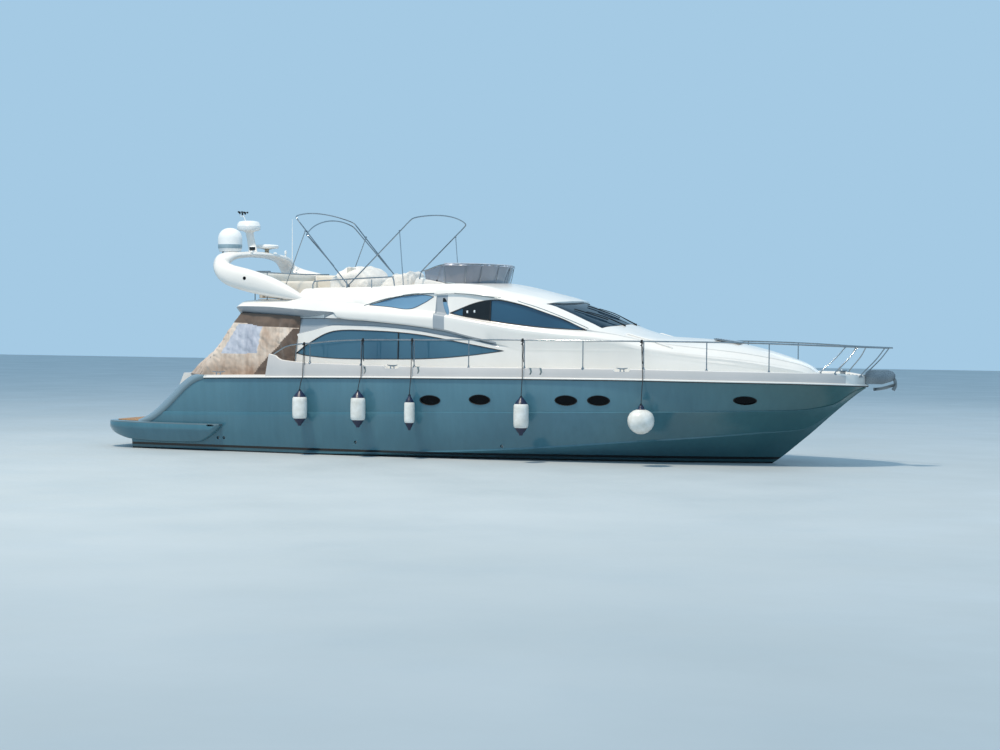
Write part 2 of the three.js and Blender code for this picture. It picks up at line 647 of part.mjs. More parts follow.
// What is left of a solid once the flybridge moulding, with its seam, is taken out of it.
function clearOfFly(body, shifts = [[0, 0, SEAM]]) {
  return shifts.reduce((rest, shift) => rest.subtract(FLY_BODY.translate(shift)), body);
}

const CONSOLE_FACE = { foot: [-1180, 3480], head: [-1060, 3760] };

function helmConsole() {
  const outline = [[-1180, FLY_FLOOR_Z + SEAM], CONSOLE_FACE.foot, CONSOLE_FACE.head, [-480, 3800],
    [-480, FLY_FLOOR_Z + SEAM]];
  return sideSlab(outline, -1390, 1390);
}

function wheelFrame() {
  const [[x0, z0], [x1, z1]] = [CONSOLE_FACE.foot, CONSOLE_FACE.head];
  const tilt = Math.atan2(x1 - x0, z1 - z0);
  return { tilt, x: (x0 + x1) / 2, z: (z0 + z1) / 2 };
}

function helmWheel() {
  const { tilt, x, z } = wheelFrame();
  const rim = solid(new THREE.TorusGeometry(190, 16, 8, 24).translate(0, 0, 110));
  const hub = solid(new THREE.CylinderGeometry(38, 38, 125, 12).rotateX(Math.PI / 2).translate(0, 0, 63));
  const spokes = [0, 1, 2].map((i) => {
    const angle = Math.PI / 2 + (2 * Math.PI * i) / 3;
    return solid(new THREE.BoxGeometry(180, 26, 14).translate(95, 0, 110).rotateZ(angle));
  });
  const local = new THREE.Matrix4().makeRotationY(-Math.PI / 2 + tilt);
  const geometry = geometryOf(join([rim, hub, ...spokes])).applyMatrix4(local);
  return solid(geometry.translate(x, HELM_Y, z));
}

function helmSeat() {
  const outline = [[-2160, FLY_FLOOR_Z + SEAM], [-2120, 3600], [-2560, 3640], [-2660, 4100], [-2780, 4090],
    [-2740, FLY_FLOOR_Z + SEAM]];
  return sideSlab(outline, -1350, -150);
}

function flySettee() {
  const base = FLY_FLOOR_Z + SEAM;
  const seat = box([-4950, -3100], [-1340, 1340], [base, 3520])
    .subtract(box([-4330, -3000], [-800, 800], [3000, 4000]));
  const backs = [
    box([-4950, -4810], [-1340, 1340], [3400, 3960]),
    box([-4950, -3500], [1210, 1340], [3400, 3960]),
    box([-4950, -3500], [-1340, -1210], [3400, 3760]),
  ];
  return join([seat, ...backs]);
}

const WINDSHIELD = { foot: 3700, head: 4140, thick: 8, lean: 120 };

function flyWindshield() {
  const { foot, head, thick, lean } = WINDSHIELD;
  const path = [[-1000, 1310], [-350, 1270], [20, 1170], [200, 950], [380, 520], [440, 0]];
  const full = [...path, ...path.slice(0, -1).reverse().map(([x, y]) => [x, -y])];
  const rings = full.map(([x, y], i) => {
    const before = full[Math.max(i - 1, 0)];
    const after = full[Math.min(i + 1, full.length - 1)];
    const along = new THREE.Vector2(after[0] - before[0], after[1] - before[1]).normalize();
    const [ox, oy] = [along.y, -along.x];
    const section = [[0, foot], [thick, foot], [thick - lean, head], [-lean, head]];
    return section.map(([out, z]) => [x + ox * out, y + oy * out, z]);
  });
  return clearOfFly(solid(loft(rings))).subtract(helmConsole().translate([0, 0, SEAM]));
}

function flyRail() {
  const z = 3990;
  const top = [[-4560, -1470], [-4900, -1440], [-5050, -1300], [-5130, 0], [-5050, 1300], [-4900, 1440],
    [-4560, 1470]];
  const rail = solid(tube(top.map(([x, y]) => [x, y, z]), 15, { curved: true, steps: 22 }));
  const posts = [[-4640, -1465], [-5060, -1250], [-5128, 0], [-5060, 1250], [-4640, 1465]].map(([x, y]) => {
    const foot = x > -5000 ? at(TRAY, 7, x) : 3262;
    return solid(tube([[x, y, foot - 15], [x, y, z]], 12));
  });
  return clearOfFly(join([rail, ...posts]));
}

// Radar arch and what it carries

function radarArch() {
  // Columns: x, half distance from the centreline, z, tangent, side direction, half width, half height.
  const leg = [
    [[-3610, 3372], 1725, [-0.86, 0.5], [0, 1], 35, 22],
    [[-3900, 3500], 1720, [-0.86, 0.5], [0, 1], 110, 110],
    [[-4400, 3665], 1720, [-0.94, 0.34], [0, 1], 160, 190],
    [[-4950, 3825], 1715, [-0.96, 0.28], [0, 1], 180, 225],
    [[-5450, 3940], 1700, [-0.95, 0.32], [0.15, 1], 185, 225],
    [[-5690, 4085], 1640, [-0.5, 0.85], [0.6, 0.8], 185, 190],
    [[-5730, 4250], 1500, [0, 0.75], [1, 0.1], 195, 145],
    [[-5710, 4350], 1200, [0.02, 0.22], [1, 0], 200, 95],
    [[-5670, 4400], 600, [0, 0.06], [1, 0], 195, 70],
  ];
  const inward = [0, 0, 0, 0, 0.25, 0.6, 0.75, 1, 1];
  const rows = leg.map(([[x, z], y, [tx, tz], [sx, sy], wide, high], i) => (
    [[x, -y, z], [tx, inward[i], tz], [-sx, -sy, 0], wide, high]));
  const middle = [[-5650, 0, 4412], [0, 1, 0], [-1, 0, 0], 195, 70];
  const far = rows.map(([[x, y, z], [tx, ty, tz], [sx, sy, sz], wide, high]) => (
    [[x, -y, z], [-tx, ty, -tz], [sx, -sy, sz], wide, high])).reverse();
  return clearOfFly(ovalSweep([...rows, middle, ...far], 12), [[0, 0, SEAM], [0, SEAM, 0], [0, -SEAM, 0]]);
}

const ARCH_BODY = radarArch();

function onArch(body) {
  return body.subtract(ARCH_BODY.translate([0, 0, SEAM]));
}

function satcomDome() {
  return onArch(turned([[0, 4420], [120, 4420], [120, 4500], [265, 4520], [275, 4600], [275, 4800],
    [240, 4900], [150, 4975], [0, 5000]], [-5840, -1000], 20));
}

function radarMast() {
  const post = solid(loft([
    [4440, -5790, 110, 45], [4960, -5900, 90, 40],
  ].map(([z, x, long, wide]) => [
    [x - long, -wide, z], [x + long, -wide, z], [x + long, wide, z], [x - long, wide, z],
  ])));
  const profile = [[0, 4950], [230, 4960], [275, 5010], [275, 5100], [240, 5180], [0, 5205]];
  const scanner = turned(profile, [-5910, 0], 20);
  return onArch(post).add(scanner);
}

function tvAntenna() {
  return onArch(turned([[0, 4420], [60, 4420], [60, 4560], [270, 4580], [280, 4640], [240, 4665], [0, 4672]],
    [-5690, 480], 20));
}

// Frame of the sun canopy: two hoops hinged on the coaming, and a middle hoop hinged on the aft one

// A bent bar across the boat. Each leg has the x and z of its pivot and its corner.
function hoop(near, far, half, crown, [leanX, leanZ]) {
  const corner = (point, side) => [point[0], side * (half - 70), point[1]];
  const points = [
    [near[0][0], -half, near[0][1]],
    [near[1][0] + (near[0][0] - near[1][0]) * 0.07, -half, near[1][1] + (near[0][1] - near[1][1]) * 0.07],
    corner(near[1], -1),
    ...[-0.6, -0.2, 0.2, 0.6].map((f) => {
      const t = (f + 1) / 2;
      const rise = crown * (1 - f * f);
      return [near[1][0] * (1 - t) + far[1][0] * t + rise * leanX, f * half,
        near[1][1] * (1 - t) + far[1][1] * t + rise * leanZ];
    }),
    corner(far[1], 1),
    [far[1][0] + (far[0][0] - far[1][0]) * 0.07, half, far[1][1] + (far[0][1] - far[1][1]) * 0.07],
    [far[0][0], half, far[0][1]],
  ];
  return solid(tube(points, BIMINI.tube));
}

const PIVOT = [BIMINI.pivotX, BIMINI.pivotZ];
const AFT_END = [-3940, 5210];
const FORWARD_END = [-1080, 5140];
const MIDDLE_PIVOT = onLeg(AFT_END, 0.28);
const HALF = { forward: 1530, aft: 1500, middle: 1470, prop: 1570 };
const TUBE_FLAT = BIMINI.tube * Math.cos(Math.PI / 8);

// A point on a hoop's straight leg, at a share of the way from the pivot to its corner.
function onLeg(end, share) {
  return [PIVOT[0] + (end[0] - PIVOT[0]) * share, PIVOT[1] + (end[1] - PIVOT[1]) * share];
}

function sideBar(x, z, y0, y1, radius) {
  const bar = new THREE.CylinderGeometry(radius, radius, Math.abs(y1 - y0), 8);
  return solid(bar.translate(x, (y0 + y1) / 2, z));
}

function aftHoop() {
  const bar = hoop([PIVOT, AFT_END], [PIVOT, AFT_END], HALF.aft, 170, [-0.66, 0.75]);
  const pins = [-1, 1].map((side) => (
    sideBar(MIDDLE_PIVOT[0], MIDDLE_PIVOT[1], side * (HALF.middle + TUBE_FLAT + SEAM), side * HALF.aft, 7)));
  return join([bar, ...pins]);
}

function middleHoop() {
  return hoop([MIDDLE_PIVOT, [-3690, 4830]], [MIDDLE_PIVOT, [-3950, 5130]], HALF.middle, 190, [-0.3, 1]);
}

function forwardHoop() {
  return hoop([PIVOT, FORWARD_END], [PIVOT, FORWARD_END], HALF.forward, 170, [0.72, 0.69]);
}

// Struts that hold the hoops up: the place of the pin on the hoop and of the foot, and the hoop's half width.
const PROPS = {
  aft: { pin: onLeg(AFT_END, 0.78), foot: [-4220, 3440], hoopHalf: HALF.aft },
  forward: { pin: onLeg(FORWARD_END, 0.81), foot: [-1277, 3740], hoopHalf: HALF.forward },
};

function prop({ pin, foot, hoopHalf }, side) {
  const y = side * HALF.prop;
  const ground = at(TRAY, 7, foot[0]) - 15;
  const bar = solid(tube([[pin[0], y, pin[1]], [foot[0], y, foot[1]], [foot[0], y, ground]], 10));
  return clearOfFly(bar).add(sideBar(pin[0], pin[1], side * (hoopHalf + TUBE_FLAT + SEAM), y, 7));
}

// Hand rails

// Path of the rail. Columns: x, half distance from the centreline, z.
const RAIL = [
  [-3900, 2262, 2215], [-3760, 2275, 2330], [-3500, 2285, 2385], [-3100, 2290, 2420], [-2500, 2292, 2480],
  [-1900, 2290, 2505], [-600, 2285, 2520], [1800, 2215, 2540], [3000, 2120, 2540], [4280, 1935, 2540],
  [5530, 1690, 2535], [6740, 1300, 2515], [7500, 950, 2490], [8200, 520, 2465], [8750, 300, 2452],
  [8960, 215, 2445],
];
const RAIL_RADIUS = 16;

function railBar(side, radius = RAIL_RADIUS) {
  return solid(tube(RAIL.map(([x, y, z]) => [x, side * y, z]), radius, { curved: true, steps: 34 }));
}

function handrail(side) {
  const posts = [-3150, -1930, -690, 550, 1780, 3030, 4280, 5540, 6740];
  const bars = posts.map((x) => {
    const half = at(RAIL, 1, x);
    const foot = at(HULL, 7, x) + at(TOE_RAIL, 1, x) - 40;
    return solid(tube([[x, side * half, foot], [x, side * half, at(RAIL, 2, x) + 4]], 12, { sides: 6 }));
  });
  // Columns: x and half distance from the centreline of the foot, then of the head.
  const stays = [[7700, 860, 8150, 545], [7960, 690, 8370, 450], [8400, 225, 8890, 245]];
  const leaning = stays.map(([x0, y0, x1, y1]) => {
    const foot = at(HULL, 7, x0) + at(TOE_RAIL, 1, x0) - 40;
    const head = at(RAIL, 2, x1) + 2;
    const middle = [(x0 + x1) / 2 + 60, (side * (y0 + y1)) / 2, (foot + head) / 2 + 60];
    const path = [[x0, side * y0, foot], [x0 + 60, side * y0, foot + 110], middle, [x1, side * y1, head]];
    return solid(tube(path, 12, { sides: 6 }));
  });
  return join([railBar(side), ...bars, ...leaning]).subtract(deckForm().translate([0, 0, SEAM]));
}

// Bow gear

function anchor() {
  const roller = box([8300, 8900], [-70, 70], [1840, 1930]);
  const cheeks = [-1, 1].map((side) => (
    sideSlab([[8480, 1700], [8480, 1990], [8900, 1990], [9060, 1900], [9060, 1780], [8800, 1700]],
      side > 0 ? 60 : -75, side > 0 ? 75 : -60)));
  const shank = sideSlab([[8520, 1935], [8980, 1890], [9080, 1640], [9000, 1560], [8940, 1820],
    [8520, 1890]], -30, 30);
  const fluke = solid(loft([[8640, 1560, 30], [8990, 1580, 190], [9090, 1680, 30]].map(([x, z, half]) => (
    [[x, -half, z], [x, half, z], [x + 20, half, z + 50], [x + 20, -half, z + 50]]))));
  const shifts = [[0, 0, SEAM], [SEAM, 0, 0], [-SEAM, 0, 0], [0, SEAM, 0], [0, -SEAM, 0]];
  const bow = join(shifts.map((shift) => deckForm().translate(shift)));
  return join([roller, ...cheeks, shank, fluke]).subtract(bow);
}

function windlass() {
  const z = at(HULL, 7, 7950) + DECK_RISE + 10;
  const profile = [[0, 0], [130, 0], [120, 40], [70, 60], [60, 120], [90, 150], [80, 175], [0, 180]];
  const body = turned(profile.map(([r, up]) => [r, z + up]), [7980, 0], 16);
  return body.subtract(deckForm().translate([0, 0, SEAM]));
}

const FORE_HATCH = { x: [5300, 5860], half: 280 };

function foredeckHatch() {
  const [x0, x1] = FORE_HATCH.x;
  const z = (x) => at(HOUSE, 11, x) + 0.4;
  const outline = [[x0, z(x0)], [x0, z(x0) + 34], [x1, z(x1) + 34], [x1, z(x1)]];
  return sideSlab(outline, -FORE_HATCH.half, FORE_HATCH.half);
}

// Underwater gear

// The port one; the starboard one is its mirror image and turns the other way.
function portPropeller() {
  const shaft = shaftBar(SHAFT.aftX, SHAFT.logX + 60, SHAFT.radius, 1);
  const hub = shaftBar(PROP.x - 110, PROP.x + 60, PROP.hub, 1, 12);
  // Columns: radius, half chord, pitch angle in degrees.
  const sections = [[40, 60, 62], [150, 120, 48], [260, 125, 36], [PROP.radius, 45, 28]];
  const blades = Array.from({ length: PROP.blades }, (_, i) => {
    const rings = sections.map(([r, chord, pitch]) => {
      const angle = THREE.MathUtils.degToRad(pitch);
      const [cx, cy] = [Math.sin(angle) * chord, Math.cos(angle) * chord];
      const [tx, ty] = [Math.cos(angle) * 7, -Math.sin(angle) * 7];
      return [[cx, cy], [tx, ty], [-cx, -cy], [-tx, -ty]].map(([x, y]) => [x, y, r]);
    });
    return solid(loft(rings)).rotate([(360 / PROP.blades) * i + 45, 0, 0]);
  });
  const tilt = THREE.MathUtils.radToDeg(-Math.atan(SHAFT.slope));
  const screw = join(blades).rotate([0, tilt, 0]).translate(shaftPoint(PROP.x, 1));
  return join([shaft, hub, screw]);
}

function propeller(side) {
  return side > 0 ? portPropeller() : portPropeller().mirror([0, 1, 0]);
}

function shaftBracket(side) {
  const barrel = shaftBar(-6500, -6340, 58, side, 16);
  const [x, y, z] = shaftPoint(-6420, side);
  const arm = solid(loft([[z + 20, 0, 0], [-300, 40, -40]].map(([height, dx, dy]) => (
    [[-75, 0], [0, 16], [75, 0], [0, -16]].map(([a, b]) => [x + a + dx, y + b + side * dy, height])))));
  return barrel.add(arm).subtract(shaftBar(-6600, -6240, SHAFT.radius + 0.9, side)).subtract(hullForm(SEAM));
}

function rudder(side) {
  const { x, y, bossZ, bladeTop, bladeFoot } = RUDDER;
  // Columns: z, length ahead of the stock, length behind it, half thickness.
  const ends = [[bladeTop, 190, 240, 20], [bladeFoot, 130, 170, 14]];
  const blade = solid(loft(ends.map(([z, ahead, behind, half]) => (
    [[x + ahead, 0], [x + ahead * 0.4, half], [x - behind, 3], [x - behind, -3], [x + ahead * 0.4, -half]]
      .map(([px, py]) => [px, side * y + py, z])))));
  const stock = solid(new THREE.CylinderGeometry(22, 22, 90, 12).rotateX(Math.PI / 2)
    .translate(x, side * y, bossZ - 0.5 - 45));
  return blade.add(stock);
}

// Fenders hung from the starboard rail. Columns: name, x, radius, top z, bottom z, x where the line is tied.
const FENDERS = [
  ['fender_aft', -3255, 158, 1400, 650, -3290],
  ['fender_quarter', -1865, 158, 1410, 650, -1885],
  ['fender_middle', -690, 110, 1340, 620, -735],
  ['fender_forward', 1820, 155, 1360, 580, 1740],
  ['fender_ball', 4360, 275, 1250, 660, 4240],
];

const FENDER_GAP = 55;

function fender([, x, radius, top, foot, tie]) {
  const reach = at(HULL, 6, x) + FENDER_GAP + radius;
  const ball = [[0, foot], [150, foot + 60], [radius, (top + foot) / 2], [150, top - 60], [45, top],
    [0, top]];
  const cylinder = [[0, foot], [radius * 0.35, foot + 15], [radius, foot + 120], [radius, top - 120],
    [radius * 0.35, top - 15], [0, top]];
  const body = turned(top - foot > 2.5 * radius ? cylinder : ball, [x, -reach], 12);
  const path = [[x, -reach, top - 20], [x, -reach, top + 60], [tie, -at(RAIL, 1, tie), at(RAIL, 2, tie)]];
  const line = solid(tube(path, 6, { sides: 6 })).subtract(railBar(-1, RAIL_RADIUS + SEAM));
  return body.add(line);
}

place('hull', hull(), COLOURS.hull, 0.25);
place('deck', deck(), COLOURS.gelcoat, 0.3);
place('rub_rail', rubRail(), COLOURS.rubber, 0.5);
place('swim_platform', swimPlatform(), COLOURS.gelcoat, 0.3);
place('platform_teak', platformTeak(), COLOURS.teak, 0.6);
place('cockpit_sole', cockpitSole(), COLOURS.teak, 0.6);
place('engine_hatch', engineHatch(), COLOURS.teak, 0.6);
place('saloon_sole', saloonSole(), COLOURS.teak, 0.5);
place('engine_starboard', box([-3700, -2200], [-1080, -230], [-99.7, 850]), COLOURS.engine, 0.5);
place('engine_port', box([-3700, -2200], [230, 1080], [-99.7, 850]), COLOURS.engine, 0.5);
place('transom_locker', transomLocker(), COLOURS.gelcoat, 0.3);
place('transom_door', transomDoor(), COLOURS.gelcoat, 0.3);
place('cockpit_bench', cockpitBench(), COLOURS.cushion, 0.8);
place('cockpit_canvas', cockpitCanvas(), COLOURS.canvas, 0.9);
place('deckhouse', deckhouse(), COLOURS.gelcoat, 0.3);
glazing();
place('saloon_door', saloonDoor(), COLOURS.glass, 0.1);
place('saloon_sofa', saloonSofa(), COLOURS.cushion, 0.8);
place('lower_helm', lowerHelm(), COLOURS.gelcoat, 0.4);
place('lower_helm_seat', lowerHelmSeat(), COLOURS.cushion, 0.8);
place('flybridge', FLY_BODY, COLOURS.gelcoat, 0.3);
place('fly_windshield', flyWindshield(), COLOURS.glass, 0.1);
place('helm_console', helmConsole(), COLOURS.gelcoat, 0.4);
place('helm_wheel', helmWheel(), COLOURS.rubber, 0.4);
place('helm_seat', helmSeat(), COLOURS.cushion, 0.8);
place('fly_settee', flySettee(), COLOURS.cushion, 0.8);
place('fly_rail', flyRail(), COLOURS.steel, 0.2, 1);
place('radar_arch', ARCH_BODY, COLOURS.gelcoat, 0.3);
place('satcom_dome', satcomDome(), COLOURS.gelcoat, 0.3);
place('radar_mast', radarMast(), COLOURS.gelcoat, 0.3);
place('tv_antenna', tvAntenna(), COLOURS.gelcoat, 0.3);
place('bimini_aft_hoop', aftHoop(), COLOURS.steel, 0.2, 1);
place('bimini_middle_hoop', middleHoop(), COLOURS.steel, 0.2, 1);
place('bimini_forward_hoop', forwardHoop(), COLOURS.steel, 0.2, 1);
[['starboard', -1], ['port', 1]].forEach(([name, side]) => {
  place(`aft_prop_${name}`, prop(PROPS.aft, side), COLOURS.steel, 0.2, 1);
  place(`forward_prop_${name}`, prop(PROPS.forward, side), COLOURS.steel, 0.2, 1);
  place(`handrail_${name}`, handrail(side), COLOURS.steel, 0.2, 1);
  place(`propeller_${name}`, propeller(side), COLOURS.bronze, 0.35, 1);
  place(`shaft_bracket_${name}`, shaftBracket(side), COLOURS.bronze, 0.35, 1);
  place(`rudder_${name}`, rudder(side), COLOURS.bronze, 0.35, 1);
});
place('anchor', anchor(), COLOURS.steel, 0.3, 1);
place('windlass', windlass(), COLOURS.steel, 0.3, 1);
place('foredeck_hatch', foredeckHatch(), COLOURS.glass, 0.2);
FENDERS.forEach((row) => place(row[0], fender(row), COLOURS.fender, 0.5));

export default yacht;
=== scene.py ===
"""A flybridge motor yacht, afloat. Metres, bow along +X, port along +Y, waterline at z = 0."""

from math import atan2, copysign, cos, exp, pi, radians, sin

import bmesh
import bpy
import numpy as np
from mathutils import Matrix, Vector, noise
from numpy import linspace


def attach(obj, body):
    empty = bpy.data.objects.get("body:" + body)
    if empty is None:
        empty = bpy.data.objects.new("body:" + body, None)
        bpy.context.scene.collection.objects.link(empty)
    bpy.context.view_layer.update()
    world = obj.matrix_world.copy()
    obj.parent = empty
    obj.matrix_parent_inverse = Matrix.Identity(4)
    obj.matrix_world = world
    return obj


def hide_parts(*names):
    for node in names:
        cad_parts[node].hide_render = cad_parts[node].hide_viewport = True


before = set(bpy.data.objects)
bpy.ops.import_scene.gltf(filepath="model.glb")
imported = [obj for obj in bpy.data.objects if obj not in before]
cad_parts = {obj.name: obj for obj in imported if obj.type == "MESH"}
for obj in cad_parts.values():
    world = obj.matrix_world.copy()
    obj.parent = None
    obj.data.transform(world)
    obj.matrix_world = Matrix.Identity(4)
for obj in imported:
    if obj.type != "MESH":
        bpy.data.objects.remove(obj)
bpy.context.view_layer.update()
MM = 0.001
SIDES = {"starboard": -1, "port": 1}


# Numbers and curves


def linear(hex_colour):
    """The linear RGBA of an sRGB hex colour."""
    channels = [int(hex_colour[i : i + 2], 16) / 255 for i in (1, 3, 5)]
    return [c / 12.92 if c <= 0.04045 else ((c + 0.055) / 1.055) ** 2.4 for c in channels] + [1.0]


def turn_round(count):
    """Angles evenly round a circle."""
    return linspace(0, 2 * pi, count + 1)[:-1]


def squared(value, power):
    """A sine or cosine to a power, with its sign kept: below 1 it squares a circle's shoulders."""
    return copysign(abs(value) ** power, value)


def ease(t):
    """0 to 1 with level ends."""
    t = min(max(t, 0.0), 1.0)
    return t * t * (3 - 2 * t)


def window(x, start, stop, ramp):
    """1 between start and stop, and 0 outside, with a soft ramp at each end."""
    return ease((x - start) / ramp) * ease((stop - x) / ramp)


def slopes(x, y):
    """Slopes for a curve through points that doesn't overshoot them."""
    h, d = np.diff(x), np.diff(y) / np.diff(x)
    if len(x) == 2:
        return np.array([d[0], d[0]])
    m = np.zeros(len(x))
    m[0], m[-1] = d[0], d[-1]
    for i in range(1, len(x) - 1):
        if d[i - 1] * d[i] > 0:
            w1, w2 = 2 * h[i] + h[i - 1], h[i] + 2 * h[i - 1]
            m[i] = (w1 + w2) / (w1 / d[i - 1] + w2 / d[i])
    return m


class Line:
    """A smooth line through rows of x, y, z or of x, value, in millimetres in and metres out."""

    def __init__(self, *rows):
        table = np.array(rows, float) * MM
        self.x, self.columns = table[:, 0], table[:, 1:].T
        self.slopes = [slopes(self.x, c) for c in self.columns]

    def at(self, x):
        x = min(max(x, self.x[0]), self.x[-1])
        i = min(max(int(np.searchsorted(self.x, x)) - 1, 0), len(self.x) - 2)
        h = self.x[i + 1] - self.x[i]
        t = (x - self.x[i]) / h
        out = []
        for c, m in zip(self.columns, self.slopes):
            a = (1 + 2 * t) * (1 - t) ** 2 * c[i] + t * (1 - t) ** 2 * h * m[i]
            b = t * t * (3 - 2 * t) * c[i + 1] + t * t * (t - 1) * h * m[i + 1]
            out.append(a + b)
        return out if len(out) > 1 else out[0]


def spread(start, stop, step, *extra):
    """Stations from start to stop about a step apart, with some extra ones."""
    count = max(2, round((stop - start) / step) + 1)
    places = set(np.round(linspace(start, stop, count), 5)) | {round(e, 5) for e in extra}
    return sorted(places)


def through(p, steps):
    """A smooth run through points, or rows of numbers; the first and the last only give its direction."""
    out = []
    for a, b, c, d in zip(p, p[1:], p[2:], p[3:]):
        for t in (k / steps for k in range(steps)):
            out.append(
                0.5 * (2 * b + (c - a) * t + (2 * a - 5 * b + 4 * c - d) * t * t + (3 * b - a - 3 * c + d) * t**3)
            )
    return [*out, p[-2]]


def spline(points, steps=8):
    """Points along a round-cornered curve through the given ones."""
    p = [Vector(q) for q in points]
    return through([p[0] * 2 - p[1], *p, p[-1] * 2 - p[-2]], steps)


def side_curve(rows, steps):
    """Points of a smooth curve in side view, from rows of x, z in metres."""
    return [(p.x, p.z) for p in spline([(x, 0, z) for x, z in rows], steps)]


# Meshes


def place(name, data):
    """Puts an object in the scene."""
    obj = bpy.data.objects.new(name, data)
    bpy.context.scene.collection.objects.link(obj)
    return obj


def link(name, mesh, materials, body="yacht", stands_for=(), sharp=32):
    """An object from a mesh, shaded smooth but for its sharp edges, that rides on a body."""
    materials = materials if isinstance(materials, (list, tuple)) else [materials]
    for material in materials:
        mesh.materials.append(material)
    mesh.shade_smooth()
    mesh.set_sharp_from_angle(angle=radians(sharp))
    obj = place(name, mesh)
    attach(obj, body)
    if stands_for:
        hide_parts(*stands_for)
    return obj


def raw_mesh(name, points, faces, kinds=None, outward=True):
    """A mesh from points and faces, with merged doubles, no empty faces, and its faces turned out."""
    mesh = bpy.data.meshes.new(name)
    mesh.from_pydata([tuple(p) for p in points], [], faces)
    if kinds is not None:
        mesh.polygons.foreach_set("material_index", kinds)
    bm = bmesh.new()
    bm.from_mesh(mesh)
    bmesh.ops.remove_doubles(bm, verts=bm.verts, dist=2e-5)
    bmesh.ops.dissolve_degenerate(bm, edges=bm.edges, dist=1e-5)
    if outward:
        bmesh.ops.recalc_face_normals(bm, faces=bm.faces)
    bm.to_mesh(mesh)
    bm.free()
    return mesh


def piece(name, part, materials, body="yacht", stands_for=(), sharp=32, outward=True, bevel=None):
    """An object from points and faces, with its sharp edges rounded by (width, segments) where bevel says so."""
    mesh = raw_mesh(name, *part, outward=outward)
    if bevel:
        bevelled(mesh, *bevel)
    return link(name, mesh, materials, body, stands_for, sharp)


def grid(rings, closed=False, kind=None, ends=(False, False)):
    """Faces over rings of points; kind(i, j) gives a face's material number."""
    n = len(rings[0])
    points = [p for ring in rings for p in ring]
    faces, kinds = [], []
    for i in range(len(rings) - 1):
        for j in range(n if closed else n - 1):
            k = (j + 1) % n
            faces.append((i * n + j, i * n + k, (i + 1) * n + k, (i + 1) * n + j))
            kinds.append(kind(i, j) if kind else 0)
    for wanted, row in zip(ends, (0, len(rings) - 1)):
        if wanted:
            faces.append(tuple(row * n + j for j in range(n)))
            kinds.append(0)
    return points, faces, kinds


def solid(rings):
    """A closed body over closed rings, capped at both ends."""
    return grid(rings, closed=True, ends=(True, True))


def reach(side, near, far):
    """The lower and higher y of a span on one side of the boat."""
    return sorted((side * near, side * far))


def paint(obj, kind):
    """Gives each face the material number that kind says."""
    obj.data.polygons.foreach_set("material_index", [kind(face) for face in obj.data.polygons])


def between(rows, steps):
    """The rows with evenly spaced ones between them."""
    out = [tuple(p + (q - p) * k / steps for p, q in zip(a, b)) for a, b in zip(rows, rows[1:]) for k in range(steps)]
    return [*out, rows[-1]]


def both_sides(half):
    """A ring across the boat from a half outline of points on the port side."""
    return [*half, *[(x, -y, z) for x, y, z in reversed(half) if abs(y) > 1e-6]]


def join_parts(parts):
    """One set of points, faces and kinds from several."""
    points, faces, kinds = [], [], []
    for part in parts:
        p, f = part[0], part[1]
        k = part[2] if len(part) > 2 and part[2] else [0] * len(f)
        faces += [tuple(i + len(points) for i in face) for face in f]
        points += [tuple(q) for q in p]
        kinds += list(k)
    return points, faces, kinds


def block(x, y, z, kind=0):
    """The corners and faces of a box."""
    points = [(a, b, c) for a in x for b in y for c in z]
    faces = [(0, 1, 3, 2), (4, 6, 7, 5), (0, 4, 5, 1), (2, 3, 7, 6), (0, 2, 6, 4), (1, 5, 7, 3)]
    return points, faces, [kind] * 6


def prism(outline, low, high, axis=1):
    """A slab with an outline in the two other axes, between two values on one axis."""
    n = len(outline)
    points = []
    for value in (low, high):
        for a, b in outline:
            points.append({0: (value, a, b), 1: (a, value, b), 2: (a, b, value)}[axis])
    faces = [tuple(range(n)), tuple(range(n, 2 * n))]
    faces += [(i, (i + 1) % n, n + (i + 1) % n, n + i) for i in range(n)]
    return points, faces, [0] * len(faces)


def lathe(profile, centre, segments=32, axis=(0, 0, 1), kinds=None):
    """A turned shape. The profile has radius and height along the axis; kinds number its stretches' materials."""
    turn = Vector((0, 0, 1)).rotation_difference(Vector(axis)).to_matrix()
    rings = []
    for r, h in profile:
        rings.append([turn @ Vector((r * cos(a), r * sin(a), h)) + Vector(centre) for a in turn_round(segments)])
    return grid(rings, closed=True, kind=(lambda i, j: kinds[i]) if kinds else None)


def tube(points, radius, sides=10, caps=True, kind=0):
    """A round bar along points; the radius is one number or one for each point."""
    path = [Vector(p) for p in points]
    radii = radius if isinstance(radius, (list, tuple)) else [radius] * len(path)
    rings, side = [], None
    for i, p in enumerate(path):
        along = (path[min(i + 1, len(path) - 1)] - path[max(i - 1, 0)]).normalized()
        if side is None:
            side = along.orthogonal().normalized()
        side = (side - along * side.dot(along)).normalized()
        up = along.cross(side)
        rings.append([p + (side * cos(a) + up * sin(a)) * radii[i] for a in turn_round(sides)])
    return grid(rings, closed=True, kind=lambda i, j: kind, ends=(caps, caps))


def rounded(corners, radii, steps=3):
    """An open outline with each inner corner rounded."""
    out = [Vector(corners[0])]
    for a, b, c, r in zip(corners, corners[1:], corners[2:], radii):
        a, b, c = Vector(a), Vector(b), Vector(c)
        before, after = (a - b), (c - b)
        cut = min(r, before.length * 0.45, after.length * 0.45)
        p, q = b + before.normalized() * cut, b + after.normalized() * cut
        for k in range(steps + 1):
            t = k / steps
            out.append(p * (1 - t) ** 2 + b * 2 * t * (1 - t) + q * t * t)
    return [*out, Vector(corners[-1])]


